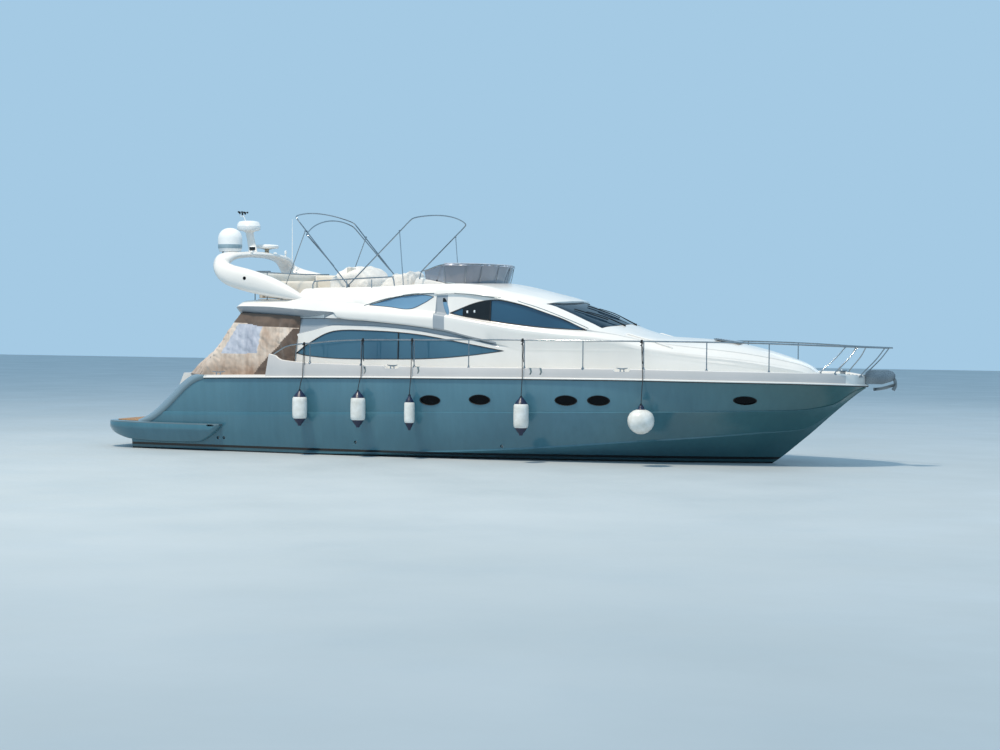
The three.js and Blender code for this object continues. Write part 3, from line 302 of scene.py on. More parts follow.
def cut_away(obj, cutters):
    """Takes closed shapes out of an object."""
    for number, part in enumerate(cutters):
        mesh = raw_mesh(f"cutter_{number}", part[0], part[1])
        tool = place(f"cutter_{number}", mesh)
        change = obj.modifiers.new("cut", "BOOLEAN")
        change.operation, change.object, change.solver = "DIFFERENCE", tool, "MANIFOLD"
        bpy.context.view_layer.update()
        shape = obj.evaluated_get(bpy.context.evaluated_depsgraph_get())
        new = bpy.data.meshes.new_from_object(shape)
        obj.modifiers.clear()
        old, obj.data = obj.data, new
        bpy.data.meshes.remove(old)
        bpy.data.objects.remove(tool)
    return obj


def bevelled(mesh, width, segments=2, angle=30):
    """Rounds a mesh's sharp edges."""
    bm = bmesh.new()
    bm.from_mesh(mesh)
    edges = [e for e in bm.edges if len(e.link_faces) == 2 and e.calc_face_angle(0) > radians(angle)]
    bmesh.ops.bevel(bm, geom=edges, offset=width, segments=segments, profile=0.6, affect="EDGES", clamp_overlap=True)
    bm.to_mesh(mesh)
    bm.free()
    return mesh


# Materials


def add(tree, kind, settings=None, links=None):
    """A node with its settings and links. `stops` are the stops of a colour ramp."""
    node = tree.nodes.new("ShaderNode" + kind)
    for key, value in (settings or {}).items():
        if key == "stops":
            ramp = node.color_ramp
            while len(ramp.elements) < len(value):
                ramp.elements.new(1.0)
            for element, (at, colour) in zip(ramp.elements, value):
                element.position = at
                element.color = linear(colour) if isinstance(colour, str) else (colour, colour, colour, 1)
        elif key == "interpolation":
            node.color_ramp.interpolation = value
        elif isinstance(key, int) or key in node.inputs:
            node.inputs[key].default_value = value
        else:
            setattr(node, key, value)
    for key, source in (links or {}).items():
        tree.links.new(source, node.inputs[key])
    return node


def start_material(name, colour, settings):
    """A material with one shader of a single colour, and the spot of each point in metres."""
    material = bpy.data.materials.new(name)
    material.use_nodes = True
    tree = material.node_tree
    tree.nodes.clear()
    shader = add(tree, "BsdfPrincipled", {"Base Color": linear(colour), **settings})
    add(tree, "OutputMaterial", {}, {"Surface": shader.outputs["BSDF"]})
    spot = add(tree, "TexCoord").outputs["Object"]
    return material, tree, shader, spot


def mottle(tree, spot, size_mm, colours, detail=4.0, stretch=(1, 1, 1), rough=0.55):
    """A soft cloud between two or more colours, with patches of a real size."""
    squeeze = add(tree, "Mapping", {"Scale": stretch}, {"Vector": spot}).outputs["Vector"]
    noise_settings = {"Scale": 1 / (size_mm * MM), "Detail": detail, "Roughness": rough}
    cloud = add(tree, "TexNoise", noise_settings, {"Vector": squeeze}).outputs["Fac"]
    first, width = 0.32, 0.36
    stops = [(first + width * i / (len(colours) - 1), c) for i, c in enumerate(colours)]
    return add(tree, "ValToRGB", {"stops": stops}, {"Fac": cloud}).outputs["Color"]


def relief(tree, shader, height, depth_mm, strength=1.0):
    """Raises the surface by a height from 0 to 1 times a real depth."""
    bump = add(tree, "Bump", {"Strength": strength, "Distance": depth_mm * MM}, {"Height": height})
    tree.links.new(bump.outputs["Normal"], shader.inputs["Normal"])


def stain(tree, colour, over, share=1.0):
    """One colour darkened by another."""
    settings = {"blend_type": "MULTIPLY", "Fac": share}
    return add(tree, "MixRGB", settings, {"Color1": colour, "Color2": over}).outputs["Color"]


def fade(tree, colour, along, span, ends):
    """A colour that deepens from one tone to another along a length in metres."""
    share = add(tree, "MapRange", {"From Min": span[0], "From Max": span[1]}, {"Value": along}).outputs["Result"]
    tones = add(tree, "ValToRGB", {"stops": [(0.0, ends[0]), (1.0, ends[1])]}, {"Fac": share})
    return stain(tree, colour, tones.outputs["Color"])


def gelcoat(name, light, dark, roughness=0.2):
    """Polyester gelcoat, sprayed in a mould and waxed: a deep even gloss, a little chalky in patches."""
    settings = {"Roughness": roughness, "IOR": 1.5, "Coat Weight": 0.35, "Coat Roughness": 0.06}
    material, tree, shader, spot = start_material(name, light, settings)
    colour = mottle(tree, spot, 900, [dark, light], detail=5, stretch=(1, 1, 0.4))
    tree.links.new(colour, shader.inputs["Base Color"])
    tree.links.new(mottle(tree, spot, 420, [roughness * 0.8, roughness * 1.35]), shader.inputs["Roughness"])
    relief(tree, shader, mottle(tree, spot, 260, [0.0, 1.0], detail=2), 0.35, 0.6)
    return material


def hull_gelcoat():
    """Gelcoat on the hull's sides, with a boot top of a black band and a white stripe over dark antifouling."""
    settings = {"Roughness": 0.16, "IOR": 1.5, "Coat Weight": 0.4, "Coat Roughness": 0.05}
    material, tree, shader, spot = start_material("hull_gelcoat", "#507F95", settings)
    axes = add(tree, "SeparateXYZ", {}, {"Vector": spot})
    height, length = axes.outputs["Z"], axes.outputs["X"]
    boot_top = 0.5
    share = add(tree, "MapRange", {"From Min": 0.0, "From Max": boot_top}, {"Value": height}).outputs["Result"]
    stripes = [(0.0, "#0A0E11"), (0.06, "#D9DEDC"), (0.17, "#0A0D10"), (0.276, "#FFFFFF")]
    bands = add(tree, "ValToRGB", {"interpolation": "CONSTANT", "stops": stripes}, {"Fac": share}).outputs["Color"]
    # Painted light and shade: the side is painted paler towards the sheer and darker low down, and painted darker
    # towards the bow, where the flare turns away from the sky
    body = mottle(tree, spot, 1400, ["#4A7A90", "#59889D"], detail=4, stretch=(1, 1, 0.5))
    body = fade(tree, body, height, (0.4, 1.6), ("#DCE6E0", "#FFFCF6"))
    body = fade(tree, body, length, (3.0, 8.2), ("#FFFFFF", "#B6C9B2"))
    rain = mottle(tree, spot, 130, ["#DCE2E2", "#FFFFFF"], detail=3, stretch=(1, 1, 0.07))
    painted = stain(tree, stain(tree, body, rain, 0.3), bands)
    tree.links.new(painted, shader.inputs["Base Color"])
    tree.links.new(mottle(tree, spot, 300, [0.12, 0.24]), shader.inputs["Roughness"])
    relief(tree, shader, mottle(tree, spot, 500, [0.0, 1.0], detail=2), 0.6, 0.6)
    return material


def plain(name, colours, size_mm, roughness, depth_mm=0.3, grain_mm=6, **more):
    """A material mottled between two near colours, with a fine grain."""
    material, tree, shader, spot = start_material(name, colours[0], {"Roughness": roughness, "IOR": 1.5, **more})
    tree.links.new(mottle(tree, spot, size_mm, colours), shader.inputs["Base Color"])
    gloss = mottle(tree, spot, size_mm * 0.4, [roughness * 0.8, min(1, roughness * 1.25)])
    tree.links.new(gloss, shader.inputs["Roughness"])
    relief(tree, shader, mottle(tree, spot, grain_mm, [0.0, 1.0], detail=3), depth_mm)
    return material


def teak(name, strip_mm, tones, caulk):
    """Oiled teak strips laid fore and aft with black caulking, silvered in the sun."""
    material, tree, shader, spot = start_material(name, tones[0], {"Roughness": 0.62, "IOR": 1.5})
    colours = {"Color1": linear(tones[0]), "Color2": linear(tones[1]), "Mortar": linear(caulk)}
    sizes = {"Mortar Size": 2.5 * MM, "Mortar Smooth": 0.1, "Brick Width": 2.4, "Row Height": strip_mm * MM}
    strips = add(tree, "TexBrick", {**colours, **sizes, "Scale": 1.0, "offset": 0.37}, {"Vector": spot})
    grain = mottle(tree, spot, 60, ["#D8CDBE", "#FFFFFF"], detail=6, stretch=(0.08, 3, 1))
    tree.links.new(stain(tree, strips.outputs["Color"], grain, 0.7), shader.inputs["Base Color"])
    low = add(tree, "Math", {"operation": "SUBTRACT", 0: 1.0}, {1: strips.outputs["Fac"]})
    relief(tree, shader, low.outputs["Value"], 1.0)
    return material


def cloth(
    name, colours, thread_mm, settings, crease_mm=90, crease_depth_mm=3.0, patch_mm=600, drop=1.0, foot=None
):
    """Woven cloth: crossing threads, soft creases and a little fade. foot darkens it over a span of heights, as
    painted shade.
    """
    material, tree, shader, spot = start_material(name, colours[0], {"IOR": 1.45, **settings})
    # drop below 1 stretches the patches upright into streaks: painted shade and reflection in the folds
    colour = mottle(tree, spot, patch_mm, colours, stretch=(1, 1, drop))
    if foot:
        height = add(tree, "SeparateXYZ", {}, {"Vector": spot}).outputs["Z"]
        colour = fade(tree, colour, height, *foot)
    tree.links.new(colour, shader.inputs["Base Color"])
    threads = []
    for direction in ("X", "Z"):
        # A wave of scale 0.31 repeats about once a metre
        settings = {"bands_direction": direction, "Scale": 0.31 / (thread_mm * MM), "Distortion": 0.4}
        threads.append(add(tree, "TexWave", settings, {"Vector": spot}).outputs["Fac"])
    weave = add(tree, "Math", {"operation": "MULTIPLY"}, {0: threads[0], 1: threads[1]})
    fine = add(tree, "Bump", {"Strength": 0.25, "Distance": 0.5 * MM}, {"Height": weave.outputs["Value"]})
    folds = mottle(tree, spot, crease_mm, [0.0, 1.0], detail=3, rough=0.5)
    depth = {"Strength": 0.7, "Distance": crease_depth_mm * MM}
    soft = add(tree, "Bump", depth, {"Height": folds, "Normal": fine.outputs["Normal"]})
    tree.links.new(soft.outputs["Normal"], shader.inputs["Normal"])
    return material


def metal(name, colours, roughness, scratch_mm=40):
    """Polished or brushed metal with faint wiping marks."""
    material, tree, shader, spot = start_material(name, colours[0], {"Metallic": 1.0, "Roughness": roughness})
    tree.links.new(mottle(tree, spot, 300, colours), shader.inputs["Base Color"])
    tree.links.new(mottle(tree, spot, scratch_mm, [roughness * 0.7, roughness * 1.5]), shader.inputs["Roughness"])
    relief(tree, shader, mottle(tree, spot, scratch_mm, [0.0, 1.0]), 0.05, 0.5)
    return material


def glass_sheet(name, colour, tint, through, ior=1.52, coat=0.6):
    """Tinted safety glass: a hard clear gloss that mirrors the sky over a darker body."""
    settings = {"Transmission Weight": through, "Coat Weight": coat, "Coat Roughness": 0.02}
    material, tree, shader, spot = start_material(name, colour, {"Roughness": 0.04, "IOR": ior, **settings})
    tree.links.new(mottle(tree, spot, 1600, [colour, tint], detail=1), shader.inputs["Base Color"])
    tree.links.new(mottle(tree, spot, 240, [0.03, 0.07]), shader.inputs["Roughness"])
    return material


# Waxed gelcoat: a bright wet-looking white that takes the blue of the sky in its shaded faces
WHITE = gelcoat("white_gelcoat", "#F1EDE8", "#EAE6E1")
# White gelcoat painted slate as painted shade on the quarters and the platform, so the run down to the platform reads
# as one piece with the hull
QUARTER_SHADE_GEL = gelcoat("painted_shade_slate_gelcoat", "#5F747D", "#566A73")
# White gelcoat painted blue-grey as painted shade: in the recess under the swept moulding and under the flybridge's
# lip
RECESS_SHADE_GEL = gelcoat("painted_shade_blue_grey_gelcoat", "#A4ABB2", "#9AA2AA")
# Unwaxed inner face of a moulding: duller and a little grey
SHADE_WHITE = gelcoat("inner_gelcoat", "#E3E5E3", "#D9DCDA", 0.35)
# Metallic blue over the whole side, with painted light paling it higher up and painted shade darkening it towards the
# bow, and rain marks below the sheer
HULL_SIDE = hull_gelcoat()
# Moulded diamond tread, drawn as a coarse grain: matt, and warmer than the gloss beside it
ANTISLIP = plain("antislip_deck", ["#DEDDD6", "#E7E6E0"], 700, 0.75, 0.7, 5)
# Extruded rubber: a soft black line without a hard highlight
BLACK_RUBBER = plain("moulded_black_rubber", ["#1B1C1E", "#26282B"], 200, 0.55, IOR=1.52)
# White gelcoat painted pale grey as painted shade on the toe rail's outer face: separates the white deck from the
# blue side
TOE_RAIL_SHADE_GEL = gelcoat("painted_shade_pale_grey_gelcoat", "#C8C5C4", "#BFBDBC")
# Painted shadow: a thin grey line along the shadow gaps at the joints
SHADOW_LINE_GREY = plain("painted_shadow_line", ["#5E7178", "#6B7E85"], 120, 0.5, 0.2, 5)
# Moulded ABS: near black, half gloss
BLACK_PLASTIC = plain("black_abs", ["#0B0C0E", "#121416"], 150, 0.45, 0.1, 3, IOR=1.4)
# Oiled teak with black caulking: warm stripes that run fore and aft
TEAK = teak("laid_teak", 55, ["#B98F63", "#A97F55"], "#1B1713")
# Varnished cabin floor: darker and redder boards
CABIN_WOOD = teak("cabin_floor_wood", 90, ["#7C5234", "#6B452B"], "#3A2416")
# Polished 316 tube: a sharp bright line with the sky in it
STAINLESS = metal("polished_stainless", ["#A4AAAF", "#8D9499"], 0.16)
# Hot-dip galvanised steel: dull spangled grey
GALVANISED = metal("galvanised_steel", ["#8E9599", "#7A8185"], 0.38, 12)
# Brushed plate: broad soft highlights
BRUSHED = metal("brushed_stainless", ["#8A949A", "#767F86"], 0.3, 15)
# Cast nickel-aluminium bronze: brown gold, dulled by the sea
BRONZE = metal("cast_bronze", ["#B08B4F", "#8F7142"], 0.34, 15)
# Tinted safety glass: petrol blue by day, and only a hint of the cabin shows
SIDE_GLASS = glass_sheet("tinted_side_glass", "#37607A", "#4B7A92", 0.2)
# The windscreen lies flat under a cover of sky, so its own dark has to win over the gloss
SCREEN_GLASS = glass_sheet("windscreen_glass", "#142636", "#1D3547", 0.1, 1.22, 0.0)
# A deeper blue than the saloon's glass
WHEELHOUSE_GLASS = glass_sheet("dark_side_glass", "#1F4966", "#2D5D7A", 0.15)
# Solid tinted panel in the coaming: flat sky blue, no view through it
BLUE_PANEL = glass_sheet("blue_grey_panel", "#5B84A4", "#7097B5", 0.0)
# Thick porthole glass: black holes with one small glint
PORT_GLASS = plain("dark_port_glass", ["#04070B", "#080C12"], 200, 0.12, 0.05, 60, IOR=1.2)
# Smoked acrylic: grey, half clear
SMOKED = glass_sheet("smoked_acrylic", "#9AA2B0", "#B4BBC6", 0.45)
# Acrylic canvas: sand, with painted fold shading in upright streaks and painted shade darkening it towards the foot;
# threads drawn coarse to show
CANVAS = cloth(
    "acrylic_canvas", ["#B9A291", "#DDCCBD", "#EADCD0"], 1.6, {"Roughness": 0.9, "Sheen Weight": 0.3}, 120, 6, 260,
    0.22, ((1.75, 2.2), ("#CFC5BE", "#FFFFFF")),
)
# The same cloth painted dark as painted shade, for the shadow under the overhang and the shaded front corner; it also
# colours the piping
CANVAS_DARK = cloth("shaded_canvas", ["#5E5048", "#6E5F55"], 1.6, {"Roughness": 0.9, "Sheen Weight": 0.3}, 150, 4)
# Coated polyester covers: chalk white, with soft creases
COVER = cloth("cover_cloth", ["#DAD6D0", "#E6E3DE"], 1.4, {"Roughness": 0.8, "Sheen Weight": 0.2}, 140, 10)
# Clear vinyl gone milky: cool lilac grey, with painted reflections and shade of its creases in upright streaks
CLEAR_VINYL = cloth(
    "clear_vinyl", ["#A6AAB8", "#BDC0CC", "#CCCED8"], 3.0, {"Roughness": 0.18, "Coat Weight": 0.5}, 110, 8, 130, 0.16
)
# Stitched marine vinyl: cream, satin
SEAT_VINYL = plain("stitched_vinyl", ["#E0DBD1", "#D4CEC3"], 350, 0.5, 0.6, 4)
# Cabin upholstery: tan, matt
CABIN_VINYL = plain("cabin_upholstery", ["#B79D7C", "#A78D6D"], 350, 0.7, 0.8, 5)
# Blown vinyl fender: clean white, scuffed in patches
FENDER_WHITE = plain("fender_vinyl", ["#F3F2EE", "#DAD7CF"], 160, 0.33, 0.2, 8)
# Its dyed ends: navy
FENDER_BLUE = plain("navy_vinyl", ["#141E3A", "#1B2748"], 120, 0.35, 0.2, 8)
# Braided polyester line: fuzzy black
ROPE_BLACK = plain("braided_black_rope", ["#1A1B1E", "#292B2F"], 20, 0.85, 0.8, 5)
# Moulded ABS radomes: smooth cool white
RADOME_WHITE = plain("radome_abs", ["#F1F3F3", "#E6E9EA"], 400, 0.28, 0.1, 20, IOR=1.53)
# The dome's band
RADOME_BLUE = plain("blue_grey_abs", ["#9DB4BF", "#8CA5B1"], 200, 0.35, 0.1, 20, IOR=1.53)
# Sun-yellowed ABS on the television aerial
BEIGE_ABS = plain("beige_abs", ["#CDBEA6", "#BFAF96"], 200, 0.4, 0.1, 20, IOR=1.53)
# Painted dashboard: pale blue, soft gloss
DASH = plain("light_blue_dash", ["#BFD3DC", "#CFDFE5"], 300, 0.38, 0.3, 4)
# Enamel on cast iron
ENGINE_PAINT = plain("enamelled_iron", ["#8C9195", "#7C8185"], 200, 0.4, 0.5, 8, Metallic=0.3)
# Screen behind hard glass: black with a crisp highlight
SCREEN_BLACK = plain("display_glass", ["#0B0E11", "#12171B"], 100, 0.08, 0.02, 30)
# Pale floor in place of the water
FLOOR = plain("pale_floor", ["#B3BCC0", "#BBC3C7"], 5000, 0.6, 0.5, 900, IOR=1.45)


# Lines of the yacht, in millimetres

# x, keel z, chine y, chine z, knuckle y, knuckle z, rail y, rail z
HULL = Line(
    [-7750, -520, 1990, -60, 2110, 835, 2150, 1600],
    [-6400, -590, 2050, -50, 2180, 845, 2225, 1620],
    [-5000, -650, 2085, -30, 2235, 870, 2290, 1650],
    [-2500, -725, 2110, 20, 2300, 930, 2355, 1695],
    [0, -755, 2030, 130, 2280, 990, 2345, 1725],
    [2000, -735, 1860, 260, 2185, 1030, 2270, 1745],
    [3800, -640, 1530, 410, 1960, 1070, 2080, 1752],
    [5200, -440, 1170, 520, 1680, 1100, 1860, 1742],
    [6400, -60, 720, 630, 1270, 1125, 1530, 1730],
    [7200, 540, 300, 720, 790, 1140, 1200, 1718],
    [7850, 1120, 60, 1150, 330, 1260, 840, 1700],
    [8300, 1500, 20, 1515, 130, 1570, 400, 1680],
    [8460, 1610, 8, 1620, 26, 1640, 60, 1668],
)
# x, height of the toe rail over the rail's line
TOE_RAIL = Line(
    [-5800, 52], [-4230, 52], [-4190, 500], [-4080, 515], [-3860, 380], [-2600, 290], [0, 228], [5200, 215],
    [7200, 212], [7850, 228], [8300, 205], [8460, 190],
)
# Heights and half widths of the open spaces, in metres
SOLE = 1.12
UNDER_SOLE = 1.09
OVER_DECK = 2.6
WELL = 1.72
CABIN = 1.66
PLATFORM_TOP = 0.61
DECK_RISE = 0.1
# The bulkhead between cockpit and saloon, with its doorway
BULKHEAD = (-3.951, -3.889)
DOORWAY = (-0.7, 0.3)
# Pieces on a sole stand this much above it
ON_SOLE = SOLE + 0.0003
FLY_SOLE = 3.12
ON_FLY_SOLE = FLY_SOLE + 0.0003
# Shafts and rudders
SHAFT_Y = 0.76
RUDDER_X = -7.34


def hull_half(x, grow=0.0):
    """Points from the keel round the port side up to the rail, with a spray chine and a stepped knuckle."""
    keel, chine_y, chine_z, knee_y, knee_z, rail_y, rail_z = HULL.at(x)
    fine = min(1.0, chine_y / 0.7)
    bow = ease((x - 2.5) / 4.5) * min(1.0, knee_y / 0.6)
    out = [(0.0, keel - grow)]
    for k in range(1, 6):
        t = k / 6
        out.append((chine_y * t, keel - grow + (chine_z - keel) * t**0.88))
    out.append((chine_y + grow, chine_z - grow))
    out.append((chine_y + 0.028 * fine + grow, chine_z + 0.02 * fine))
    y0, z0 = chine_y + 0.02 * fine, chine_z + 0.05 * fine
    for k in range(8):
        t = k / 8
        swell = (0.022 - 0.075 * bow) * sin(pi * t)
        out.append((y0 + (knee_y - y0) * t + swell + grow, z0 + (knee_z - z0) * t))
    step = 0.018 * min(1.0, knee_y / 0.5)
    out += [
        (knee_y + grow, knee_z), (knee_y + grow - step * 0.2, knee_z + step * 0.8),
        (knee_y + grow - step, knee_z + step),
    ]
    for k in range(1, 6):
        t = k / 5
        z = knee_z + step + (rail_z - knee_z - step) * t
        swell = (0.012 - 0.05 * bow) * sin(pi * t)
        out.append((knee_y - step + (rail_y - knee_y + step) * t + swell + grow, z))
    return out


def hull_y(x, z):
    """Half breadth of the hull at a height."""
    rows = hull_half(x)
    for (y0, z0), (y1, z1) in zip(rows, rows[1:]):
        if z0 <= z <= z1 and z1 > z0:
            return y0 + (y1 - y0) * (z - z0) / (z1 - z0)
    return rows[-1][0]


def loft(section, stations):
    """A closed body from half sections at its stations."""
    rings = [both_sides([(x, y, z) for y, z in section(x)]) for x in stations]
    return solid(rings)


# Top of the hull's side where it runs down to the platform: x, z; then what is cut out over it and inside
QUARTER = [(-5.8, 1.632), (-6.0, 1.56), (-6.25, 1.4), (-6.56, 1.13), (-6.9, 0.85), (-7.2, 0.665), (-7.54, 0.56)]
ABOVE_QUARTER = [(-5.8, 1.7), *QUARTER, (-7.9, 0.56), (-7.9, 1.7)]
STERN_CUTS = [
    prism(ABOVE_QUARTER, WELL - 0.001, OVER_DECK),
    prism(ABOVE_QUARTER, -OVER_DECK, 0.001 - WELL),
    prism(
        [
            (-5.8, 1.7), (-5.8, 1.09), (-6.85, 1.09), (-6.85, 0.84), (-7.18, 0.84), (-7.18, 0.56), (-7.9, 0.56),
            (-7.9, 1.7),
        ],
        -WELL,
        WELL,
    ),
]
WELLS = [
    block((-6.85, -3.95), (-WELL, WELL), (UNDER_SOLE, OVER_DECK)),
    block((-3.89, 2.25), (-CABIN, CABIN), (UNDER_SOLE, OVER_DECK)),
    block(BULKHEAD, DOORWAY, (UNDER_SOLE, OVER_DECK)),
    block((-4.9, -2.0), (-1.25, 1.25), (-0.1, SOLE)),
]
# Portholes: x, z, half length, half height
PORTHOLES = [
    (-0.31, 1.245, 0.225, 0.1), (0.81, 1.28, 0.225, 0.1), (2.68, 1.3, 0.225, 0.1), (3.36, 1.31, 0.225, 0.1),
    (6.27, 1.35, 0.215, 0.082),
]


def oval(x, z, long, high, count=36, power=1.95):
    """A round-ended outline."""
    k = 2 / power
    return [(x + long * squared(cos(a), k), z + high * squared(sin(a), k)) for a in turn_round(count)]


def toe_top(x):
    """Height of the toe rail's top."""
    return HULL.at(x)[6] + TOE_RAIL.at(x)


def build_hull():
    """The moulded hull with its decked wells, portholes and outlets."""
    shell = loft(hull_half, spread(-7.75, 8.46, 0.15, 8.3, 8.4))
    hull = piece("hull_shell", shell, [HULL_SIDE, SHADE_WHITE, BLACK_RUBBER], stands_for=["hull"])
    cuts = [*STERN_CUTS, *WELLS]
    for x, z, long, high in PORTHOLES:
        for side in (-1, 1):
            y = min(hull_y(px, pz) for px, pz in oval(x, z, long, high))
            cuts.append(prism(oval(x, z, long, high), *reach(side, y - 0.06, y + 0.3)))
    for x in (-5.48, -5.33, -2.1, 1.2):
        for side in (-1, 1):
            y = hull_y(x, 0.3)
            cuts.append(prism(oval(x, 0.3, 0.035, 0.035, 16, 2), *reach(side, y - 0.08, y + 0.3)))
    cut_away(hull, cuts)
    for side in (-1, 1):
        boss = lathe(
            [(0, -0.2), (0.05, -0.2), (0.05, -0.46), (0.035, -0.47), (0, -0.47)], (RUDDER_X, side * SHAFT_Y, 0), 20
        )
        piece(f"rudder_boss_{RUDDER_X}_{side}", boss, HULL_SIDE)
        log = [(-4.65, side * SHAFT_Y, -0.563), (-3.9, side * SHAFT_Y, -0.413), (-3.5, side * SHAFT_Y, -0.333)]
        piece(f"shaft_log_{side}", tube(log, [0.058, 0.066, 0.066], 20), HULL_SIDE)

    def lining(face):
        x, y, z = face.center
        keel, rail = HULL.at(x)[0], HULL.at(x)[6]
        inside = abs(y) < hull_y(x, z) - 0.05 and keel + 0.06 < z < rail + 0.01 and x > -7.74
        return int(inside and face.normal.z > -0.5)

    paint(hull, lining)
    hull.data.set_sharp_from_angle(angle=radians(24))


def build_portholes():
    """Dark oval glass in black frames."""
    for number, (x, z, long, high) in enumerate(PORTHOLES):
        for name, side in SIDES.items():
            rows = []
            for scale, out in ((1.06, 0.002), (1.06, 0.01), (1.0, 0.013), (0.95, 0.006), (0.94, -0.03)):
                ring = [
                    (px, side * (hull_y(px, pz) + out), pz)
                    for px, pz in oval(x, z, long * scale, high * (scale * 1.02))
                ]
                rows.append(ring)
            piece(f"porthole_frame_{name}_{number}", grid(rows, closed=True), BLACK_PLASTIC, outward=False)
            pane = [(px, side * (hull_y(px, pz) - 0.018), pz) for px, pz in oval(x, z, long * 0.97, high * 0.97)]
            back = [(px, py - side * 0.012, pz) for px, py, pz in pane]
            piece(f"porthole_glass_{name}_{number}", solid([pane, back]), PORT_GLASS)


def build_quarters():
    """The rounded white bulwark ends that run down to the bathing platform."""
    outer = spline(
        [
            (-5.8, 0, 1.655), (-6.0, 0, 1.585), (-6.25, 0, 1.425), (-6.56, 0, 1.155), (-6.9, 0, 0.875),
            (-7.2, 0, 0.69), (-7.54, 0, 0.585),
        ],
        4,
    )
    inner = spline(
        [
            (-6.37, 0, 1.665), (-6.52, 0, 1.6), (-6.72, 0, 1.45), (-6.98, 0, 1.2), (-7.28, 0, 0.93), (-7.55, 0, 0.73),
            (-7.84, 0, 0.6),
        ],
        4,
    )
    floor = Line(*[(x / MM, z / MM) for x, z in reversed(QUARTER)])
    for name, side in SIDES.items():
        rings = []
        pairs = [(Vector((-5.72, 0, 1.66)), Vector((-5.74, 0, 1.66))), *zip(outer, inner)]
        for o, i in pairs:
            yo = hull_y(o.x, o.z - 0.02) + 0.012
            low_o, low_i = floor.at(o.x) - 0.03, floor.at(i.x) - 0.03
            if i.x < -7.54:
                low_i = 0.565
            ring = [
                (o.x, yo - 0.002, min(low_o, o.z - 0.06)), (o.x, yo, o.z - 0.03),
                (o.x - 0.02, yo - 0.025, o.z + 0.004),
            ]
            for t in (0.15, 0.35, 0.6, 0.85):
                p = o * (1 - t) + i * t
                ring.append((p.x, yo * (1 - t) + 1.70 * t, p.z + 0.022 * sin(pi * t) + 0.004))
            ring += [
                (i.x, 1.70, i.z - 0.008), (i.x + 0.01, 1.685, i.z - 0.035), (i.x + 0.01, 1.685, low_i),
                (i.x + 0.012, 1.8, low_i),
            ]
            rings.append([(x, side * y, z) for x, y, z in ring])
        # The white bulwark ends take the slate gelcoat as painted shade
        piece(f"quarter_coaming_{name}", solid(rings), QUARTER_SHADE_GEL, sharp=50)


def build_rub_rail():
    """A white rubbing strake round the sheer with a black insert."""
    stations = spread(-5.78, 8.44, 0.16, 8.3, 8.38)
    port = [(x, HULL.at(x)[5], HULL.at(x)[6]) for x in stations]
    path = [*[(x, -y, z) for x, y, z in port], (8.488, 0, 1.666), *reversed(port)]
    rings = []
    section = [
        (-0.004, -0.03), (0.018, -0.03), (0.024, -0.026), (0.026, -0.012), (0.034, -0.01), (0.036, 0.004),
        (0.03, 0.016), (0.012, 0.024), (-0.004, 0.024),
    ]
    for i, (x, y, z) in enumerate(path):
        a, b = path[max(i - 1, 0)], path[min(i + 1, len(path) - 1)]
        run = Vector((b[0] - a[0], b[1] - a[1])).normalized()
        rings.append([(x + run.y * out, y - run.x * out, z + up) for out, up in section])
    part = grid(rings, closed=True, ends=(True, True), kind=lambda i, j: 1 if j in (0, 1, 2, 3) else 0)
    piece("rubbing_strake", part, [WHITE, BLACK_RUBBER], stands_for=["rub_rail"])


def deck_half(x):
    """Half section of the deck moulding: rounded toe rail, waterway and cambered side deck."""
    half, rail, rise = HULL.at(x)[5], HULL.at(x)[6], TOE_RAIL.at(x)
    base = rail + 0.0003
    floor = rail + min(DECK_RISE, rise - 0.006)
    top = rail + rise
    lean = min(half, 0.03) * 0.9
    inner = max(half - 0.125, half * 0.5)
    room = max(0.004, min(0.03, (half - inner) * 0.3))
    edge = min(room, (top - base) * 0.4)
    return [
        (0.0, base),
        (half - 0.001, base),
        (half - lean * 0.35, base + (top - base) * 0.4),
        (half - lean, top - edge),
        (half - lean - room * 0.4, top - edge * 0.3),
        (half - lean - room, top),
        (inner + room, top),
        (inner + room * 0.3, top - edge * 0.3),
        (inner, top - edge),
        (inner - min(0.012, half * 0.05), floor + min(0.012, (top - floor) * 0.4)),
        (inner - min(0.035, half * 0.1), floor),
        (inner * 0.5, floor + min(0.022, half * 0.04)),
        (0.0, floor + min(0.03, half * 0.05)),
    ]


# Scupper slots in the toe rail: x, z
DECK_SLOTS = [(-1.84, 1.86), (-0.6, 1.88), (1.91, 1.9), (2.13, 1.9)]


